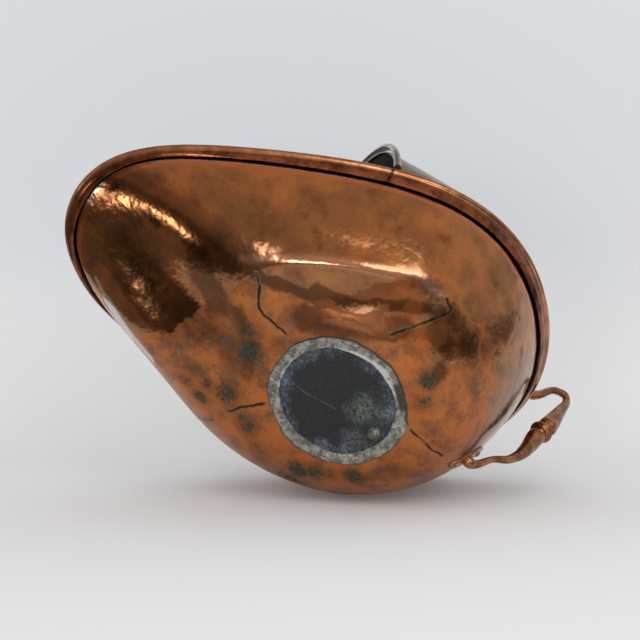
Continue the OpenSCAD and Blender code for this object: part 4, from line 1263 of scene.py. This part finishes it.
@material("Worn raised copper")
def copper_body(add, f, where):
    """Worn raised copper: brown tarnish that still mirrors above, rubbed orange metal below,
    with dark stains, verdigris specks, a pale tinned line under the rim and a fine unevenness,
    and painted shade in the hollow and dark patches, a painted highlight on the crest, painted
    pale reflections and a dark line of painted shade down the folds and cracks."""
    inside, shade, crest, bloom, stain, edge, crack, pale = (
        add("value", attribute_name=key)
        for key in ("worn", "shade", "crest", "bloom", "stain", "edge", "crack", "pale"))
    broad = add("noise", where, per(45), 3, 0.5)
    cloud = add("noise", where, per(22), 8, 0.66)
    fine = add("noise", where, per(4.5), 8, 0.72)
    grit = add("noise", where, per(1.4), 6, 0.7)
    golden = add("noise", where, per(28), 5, 0.6)
    worn = shaken(add, shaken(add, inside, broad, 0.03), cloud, 0.022)
    worn = add("ramp", worn, -0.0015, 0.0015)
    # polished and brown outside the tide line, orange and dull inside
    polished = add("mix", add("ramp", broad, 0.42, 0.62), f.brown, f.orange)
    polished = coats(add, polished, (0.5, linear("#a37a49"), (golden, 0.5, 0.66)),
                     (0.4, f.dark, (cloud, 0.5, 0.3)))
    dulled = add("mix", add("ramp", cloud, 0.58, 0.36), linear("#c2743f"), linear("#865a40"))
    dulled = coats(add, dulled, (0.5, f.bright, (fine, 0.5, 0.72)),
                   (0.7, f.dark, (fine, 0.42, 0.3)))
    # painted shade in the hollow and dark patches, a blue-grey haze, and a painted highlight on the
    # rubbed crest
    col = coats(add, add("mix", worn, polished, dulled),
                (0.8, f.dark, (shaken(add, shade, cloud, 1.8), 0.35, 0.75)),
                (0.75, linear("#726a68"), (shaken(add, bloom, fine, 1.6), 0.4, 0.8)),
                # the crest: rubbed copper brightened with a painted highlight
                (0.85, f.bright, crest))
    # dark specks, and stains with a brown halo round a green crust
    specks = add("ramp", total(add, fine, (stain, 0.16)), 0.68, 0.73)
    specks = add("times", specks, total(add, 0.5, (worn, 0.5)))
    crust = shaken(add, stain, fine, 1.9)
    green = add("ramp", crust, 0.48, 0.9)
    tint = add("mix", add("ramp", grit, 0.42, 0.62), linear("#2c2a20"), f.verdigris)
    col = coats(add, col, (0.85, linear("#3a2a20"), specks),
                (0.5, linear("#54402f"), (crust, -0.05, 0.6)), (0.85, tint, green))
    # an orange band and a pale tinned line along the edge under the skirt
    wavy = shaken(add, edge, cloud, 0.006)
    col = coats(add, col,
                (0.85, linear("#d4744a"), (wavy, 0.002, 0.003), (wavy, 0.0075, 0.0045),
                 (fine, 0.36, 0.52)),
                (0.6, f.residue, (wavy, -0.002, 0.0005), (wavy, 0.0032, 0.0022),
                 (broad, 0.42, 0.56)))
    # crooked cracks and folds with a grey crust beside them and a dark line of painted shade down
    # each groove, and painted pale reflections
    bent = add("apart", add("waver", where, per(9)), (0.5, 0.5, 0.5))
    bent = add("carried", bent, (0.004, 0.004, 0.004), where)
    gap = near_lines(add, bent, *(scar[0] for scar in SCARS))
    strong = add("ramp", shaken(add, crack, fine, 1.2), 0.1, 0.6)
    col = coats(add, col,
                (0.65, linear("#77786a"), (gap, 0.0032, 0.0014), (grit, 0.42, 0.58), strong),
                # painted shade: the dark line down each fold and crack
                (0.9, linear("#2a1e16"), (gap, 0.0018, 0.0006), strong),
                # painted reflection of the pale floor and wall, as pale strips
                (0.85, linear("#dcd8d4"), (shaken(add, pale, cloud, 0.8), 0.3, 0.8)))
    dull = total(add, 0, (specks, 0.4), (green, 0.4))
    rough = total(add, 0.1, (worn, 0.2), (fine, 0.1), (dull, 1))
    height = total(add, add("noise", where, per(11), 2, 0.5), (fine, 0.12), (green, 0.08),
                   (specks, -0.08))
    finish(add, col, total(add, 1, (dull, -0.9)), rough, height, 0.6, 0.00065)


@material("Drawn copper strip")
def copper_rim(add, f, where):
    """Drawn copper strip: lighter on the bead, rubbed and with a painted highlight, darker
    red-brown on the skirt below it with painted shade, and a thin dark gap at the butt joints."""
    skirt, joint = (add("value", attribute_name=key) for key in ("skirt", "joint"))
    cloud = add("noise", where, per(18), 7, 0.66)
    fine = add("noise", where, per(3), 6, 0.7)
    # a lighter bead with a painted highlight over a darker skirt with painted shade
    bead = add("mix", add("ramp", cloud, 0.4, 0.6), linear("#a06b4c"), linear("#c28c6c"))
    strip = add("mix", add("ramp", cloud, 0.35, 0.6), linear("#54301f"), linear("#96593e"))
    strip = coats(add, strip, (0.5, f.residue, (fine, 0.58, 0.68)))
    col = coats(add, add("mix", skirt, bead, strip), (0.6, f.dark, (fine, 0.56, 0.7)),
                (0.85, linear("#2a1c14"), (joint, 0.5, 0.2)))
    finish(add, col, 1.0, total(add, 0.12, (cloud, 0.2)), add("noise", where, per(6), 4, 0.55),
           0.5, 0.0004)


def planished(add, f, where, grey, warm):
    """Planished copper between two colours, with dark specks."""
    cloud = add("noise", where, per(34), 7, 0.66)
    fine = add("noise", where, per(4), 7, 0.7)
    col = add("mix", add("ramp", cloud, 0.35, 0.65), linear(grey), linear(warm))
    col = coats(add, col, (0.5, f.dark, (fine, 0.6, 0.72)))
    finish(add, col, 1.0, total(add, 0.2, (cloud, 0.25)), add("noise", where, per(12), 3, 0.55),
           0.5, 0.0006)


@material("Planished hood copper")
def copper_hood(add, f, where):
    """Copper of the hood outside, between grey and greyish brown."""
    planished(add, f, where, "#a5a09d", "#8c7468")


@material("Tinned edge of the hood")
def tinned_edge(add, f, where):
    """Paler copper of the hood's rolled edge, whitened by its tinning."""
    planished(add, f, where, "#d2d0cf", "#a79f9a")


@material("Sooted copper")
def blackened_inside(add, f, where):
    """Inside of the scuttle: tarnished copper nearly black with a green cast, its black partly
    painted shade of the inside.
    """
    cloud = add("noise", where, per(30), 7, 0.65)
    fine = add("noise", where, per(3), 6, 0.7)
    # nearly black: tarnish darkened with painted shade of the inside
    col = add("mix", add("ramp", cloud, 0.45, 0.8), f.blackening, f.dark)
    col = coats(add, col, (0.4, f.verdigris, (fine, 0.55, 0.8)))
    finish(add, col, 0.55, total(add, 0.38, (fine, 0.3)), fine, 0.5, 0.0004)


@material("Cast copper")
def copper_handle(add, f, where):
    """Cast copper alloy: brown and brighter copper in patches, with dark specks."""
    cloud = add("noise", where, per(9), 7, 0.65)
    fine = add("noise", where, per(1.5), 6, 0.7)
    col = add("mix", add("ramp", cloud, 0.4, 0.62), linear("#7d5740"), linear("#b07d59"))
    col = coats(add, col, (0.5, f.dark, (fine, 0.55, 0.7)))
    finish(add, col, 1.0, total(add, 0.12, (fine, 0.2)), add("noise", where, per(2.2), 5, 0.55),
           0.5, 0.0003)


@material("Copper rivet")
def copper_rivet(add, f, where):
    """Copper rivets, dulled round their heads."""
    fine = add("noise", where, per(1.2), 5, 0.6)
    finish(add, add("mix", fine, f.brown, f.bright), 1.0, total(add, 0.2, (fine, 0.3)), fine,
           0.4, 0.0002)


@material("Weathered solder")
def solder(add, f, where):
    """Weathered tin and lead solder: dull grey, lumpy, with brighter wiped ridges and, on the
    ring's inner lip, a painted highlight.
    """
    lip, grime = (add("value", attribute_name=key) for key in ("lip", "grime"))
    cloud = add("noise", where, per(9), 8, 0.72)
    fine = add("noise", where, per(3.4), 8, 0.78)
    col = add("mix", add("ramp", cloud, 0.42, 0.6), linear("#696a63"), linear("#a3a29c"))
    col = coats(add, col,
                (0.75, linear("#d6d3c6"), (fine, 0.55, 0.62)),
                (0.85, linear("#403f36"), (fine, 0.46, 0.38)),
                (0.85, linear("#3a342c"), (shaken(add, grime, fine, 1.6), 0.3, 0.7)),
                # the ring's inner lip: wiped solder with a painted highlight
                (0.85, linear("#d4d3d2"), (shaken(add, lip, cloud, 1.4), 0.35, 0.85),
                 (fine, 0.3, 0.5)))
    finish(add, col, 0.5, total(add, 0.25, (cloud, 0.4)), total(add, cloud, (fine, 0.5)), 1.0,
           0.0012)


# Blotches on the iron plate: middle and width in millimetres, and tint.
BLOTCHES = (((23, -8, 4), 22, "#75857a"), ((27, 22, 4), 15, "#616365"), ((38, 5, 4), 7, "#b3b497"),
            ((-46, 11, 4), 10, "#7c8ca0"), ((11, 45, 4), 9, "#7c788c"),
            ((30, 38, 4), 9, "#7f8596"), ((-40, -25, 4), 10, "#6f7578"),
            ((40, -18, 4), 10, "#7e8b98"))


@material("Dark sheet iron")
def iron_plate(add, f, where):
    """Dark sheet iron with a blue-grey bloom round its rim, a few greenish blotches and a
    scratch."""
    cloud = add("noise", where, per(20), 8, 0.68)
    fine = add("noise", where, per(3), 8, 0.75)
    middle_far = shaken(add, add("length", where), cloud, 0.03)
    col = add("mix", add("ramp", fine, 0.4, 0.7), linear("#1d1f21"), linear("#2b2e31"))
    bloom = add("mix", add("ramp", fine, 0.46, 0.66), linear("#353b45"), linear("#6d7887"))
    col = coats(add, col, (0.9, bloom, (middle_far, 0.037, 0.048), (cloud, 0.36, 0.56)))
    for spot, wide, tint in BLOTCHES:
        near = shaken(add, add("distance", where, line(spot)[0]), cloud, 0.03)
        col = coats(add, col, (0.75, linear(tint), (near, wide*MM, 0.15*wide*MM),
                               (fine, 0.36, 0.62)))
    scratch = near_lines(add, where, line((-46, 15, 4), (-37, 9, 4), (-23, 10, 4), (-11, 8, 4),
                                          (3, 7, 4)))
    col = coats(add, col, (0.7, linear("#79808a"), (scratch, 0.0014, 0.0003), (fine, 0.4, 0.6)))
    finish(add, col, 0.2, total(add, 0.45, (cloud, 0.25)), fine, 0.5, 0.0005)


@material("Rusty iron wire")
def iron_wire(add, f, where):
    """Iron wire and rod with a thin brown rust."""
    fine = add("noise", where, per(1.5), 5, 0.6)
    col = add("mix", add("ramp", fine, 0.4, 0.7), f.iron, linear("#6b4430"))
    finish(add, col, 0.6, total(add, 0.45, (fine, 0.3)), fine, 0.4, 0.0002)


# ---- stage -------------------------------------------------------------------------------

# The photograph's axes in the part's frame, from its camera: right, up and towards the camera.
RIGHT = np.array([0.8388, -0.4657, 0.2819])
UP = np.array([-0.5444, -0.7168, 0.4356])
BACK = np.array([-0.0008, -0.5189, -0.8548])
CAMERA = np.array([-48.5, -691.1, -1043.5])*MM
FRAME_PIXELS = 640
LENS_PIXELS = 1544.64        # focal length in pixels of that frame
SENSOR = 36.0                # width of the camera's sensor in millimetres


class SCUTTLE_OT_stage(Operator):
    """Floor that runs up into a wall, soft lights and the camera"""
    bl_idname = "scuttle.stage"
    bl_label = "Build stage"

    def execute(self, context):
        s = settings("scuttle_stage")
        scene = context.scene
        camera = bpy.data.cameras.new("Camera")
        camera.lens = LENS_PIXELS/FRAME_PIXELS*SENSOR
        camera.sensor_width = SENSOR
        camera.clip_end = 20
        place(camera, "Camera", CAMERA, RIGHT, UP, BACK)
        scene.camera = bpy.data.objects["Camera"]

        # the floor touches the object where the camera's picture has its lowest side
        up = cosd(s.tip)*UP + sind(s.tip)*BACK
        ahead = cosd(s.tip)*BACK - sind(s.tip)*UP
        low = min(float((corners(o) @ up).min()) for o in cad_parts.values())
        self.floor(s, up, ahead, low)
        self.lights(s, up, ahead)
        scene.view_settings.view_transform = "Standard"
        return {"FINISHED"}

    def floor(self, s, up, ahead, low):
        """A sheet that lies flat in front, bends up in a quarter circle and stands behind."""
        bend = 0.22
        w = np.linspace(0, 90, 17)
        flat = np.array([[0.75, 0.0], [0.6, 0.0], [0.3, 0.0], [0.0, 0.0]])
        curve = np.stack([-s.wall_back + bend - bend*sind(w), bend - bend*cosd(w)], -1)
        wall = np.array([[-s.wall_back, 0.35], [-s.wall_back, 0.55]])
        path = np.concatenate([flat, curve, wall])
        middle = np.array([-0.06, 0.0, 0.09])
        centre = middle - (middle @ up - low)*up
        # the sheet narrows towards the camera; what lies beyond it mirrors dark in the copper
        left = np.interp(path[:, 0], [-s.wall_back, 0, 0.6], [-0.62, -0.44, -0.3])
        right = np.interp(path[:, 0], [-s.wall_back, 0, 0.6], [0.9, 0.8, 0.5])
        across = np.stack([left, right], -1)
        p = (centre + path[:, :1, None]*ahead + path[:, 1:, None]*up
             + across[..., None]*RIGHT)
        faces = grid_faces(len(path), 2, False, False)
        n = np.cross(p[0, 1] - p[0, 0], p[1, 0] - p[0, 0])
        if n @ up < 0:
            faces = faces[:, ::-1]
        mesh = bpy.data.meshes.new("Backdrop")
        mesh.from_pydata(p.reshape(-1, 3).tolist(), [], faces.tolist())
        mesh.shade_smooth()
        mesh.materials.append(self.paper(s, up, low))
        obj = bpy.data.objects.new("Backdrop", mesh)
        bpy.context.scene.collection.objects.link(obj)

    def paper(self, s, up, low):
        """Pale paper: its own colour, lifted for the camera and for mirrors, and clear from
        behind."""
        paper = bpy.data.materials.new("Backdrop paper")
        add = empty(paper)
        high = add("along", add("place"), up)
        col = add("mix", add("ramp", high, low + 0.02, low + 0.3), s.floor, s.wall)
        seen = add("maximum", add("seen"), add("maximum", add("mirrored"), add("refracted")))
        lifted = add("times", seen, 0.08)
        lit = add("either", lifted, add("matte", col), add("glow", col, 1.0))
        add("surface", add("either", add("behind"), lit, add("clear")))
        return paper

    def lights(self, s, up, ahead):
        """A soft key light beside the camera, a larger lamp above it, a small window at the left,
        and the room that the copper mirrors."""
        target = np.array([-0.05, 0.0, 0.08])
        for name, way, far, wide, high, watts in (
                ("Key", (-0.27, 0.1, 0.96), 1.7, 0.4, 0.26, s.key_power),
                ("Lamp", (0.4, 0.5, 0.76), 1.7, 1.1, 0.6, s.fill_power),
                ("Window", (-0.9, -0.13, 0.42), 1.3, 0.05, 0.1, s.side_power)):
            way = direction(way, up, ahead)
            light = bpy.data.lights.new(name, "AREA")
            light.shape = "RECTANGLE"
            light.size, light.size_y = wide, high
            light.energy = watts
            right = unit(np.cross(up, way))
            place(light, name, target + far*way, right, np.cross(way, right), way)
        world = bpy.context.scene.world or bpy.data.worlds.new("World")
        bpy.context.scene.world = world
        add = empty(world)
        view, col = add("direction"), s.room
        # a zone is the way to its middle, the nearness where it starts and is full, and its tint
        for way, lo, hi, tint in (
                ((-0.85, -0.1, 0.5), 0.72, 0.95, s.corner),
                ((0.9, 0.35, 0.1), 0.4, 0.85, s.ceiling),
                ((0.35, 0.75, 0.55), 0.7, 0.97, s.glow),
                ((0.72, -0.08, 0.69), 0.87, 0.99, s.corner),
                ((0, 1, 0), 0.02, -0.08, s.corner),
                ((0.1, -0.3, 0.95), 0.82, 0.95, linear("#c9ab92")),
                ((-0.81, -0.26, 0.53), 0.92, 0.98, s.nook),
                ((-0.2, 0.7, -0.7), 0.75, 0.97, s.corner)):
            near = add("along", view, direction(way, up, ahead))
            col = add("mix", add("ramp", near, lo, hi), col, tint)
        # other surfaces are lit by plain white light, and the camera sees the wall's colour
        col = add("mix", add("scattered"), col, s.light)
        col = add("mix", add("seen"), col, s.wall)
        add("world", add("background", col, 1.0))


def direction(way, up, ahead):
    """The direction that points that much right, up and to the front."""
    return unit(way[0]*RIGHT + way[1]*up + way[2]*ahead)


def corners(obj):
    """All the points of an object's mesh."""
    p = np.empty(len(obj.data.vertices)*3)
    obj.data.vertices.foreach_get("co", p)
    return p.reshape(-1, 3)


def place(data, name, where, right, up, back):
    """Puts a camera or light at a place, with its own axes given as directions."""
    obj = bpy.data.objects.new(name, data)
    turn = np.eye(4)
    turn[:3, 0], turn[:3, 1], turn[:3, 2], turn[:3, 3] = right, up, back, where
    obj.matrix_world = turn.T
    bpy.context.scene.collection.objects.link(obj)


# ---- add-on ------------------------------------------------------------------------------

class SCUTTLE_PT_panel(Panel):
    """Sizes, colours and building steps of the scuttle"""
    bl_idname = "SCUTTLE_PT_panel"
    bl_label = "Coal scuttle"
    bl_space_type = "VIEW_3D"
    bl_region_type = "UI"
    bl_category = "Scuttle"

    def draw(self, context):
        for op in OPERATORS:
            self.layout.operator(op.bl_idname)
        for place_name, group in zip(PLACES, GROUPS):
            box = self.layout.box()
            box.label(text=group.__name__)
            for key in group.__annotations__:
                box.prop(getattr(context.scene, place_name), key)


OPERATORS = (SCUTTLE_OT_body, SCUTTLE_OT_base, SCUTTLE_OT_rim, SCUTTLE_OT_hood,
             SCUTTLE_OT_rear_handle, SCUTTLE_OT_top_handle, SCUTTLE_OT_stage)


def register():
    for cls in (*GROUPS, *OPERATORS, SCUTTLE_PT_panel):
        bpy.utils.register_class(cls)
    for name, group in zip(PLACES, GROUPS):
        setattr(bpy.types.Scene, name, PointerProperty(type=group))


def unregister():
    for name in PLACES:
        delattr(bpy.types.Scene, name)
    for cls in (SCUTTLE_PT_panel, *OPERATORS[::-1], *GROUPS[::-1]):
        bpy.utils.unregister_class(cls)


def main():
    """Registers the add-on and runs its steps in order."""
    register()
    bpy.ops.scuttle.body()
    bpy.ops.scuttle.base()
    bpy.ops.scuttle.rim()
    bpy.ops.scuttle.hood()
    bpy.ops.scuttle.rear_handle()
    bpy.ops.scuttle.top_handle()
    bpy.ops.scuttle.stage()


if __name__ == "__main__":
    main()
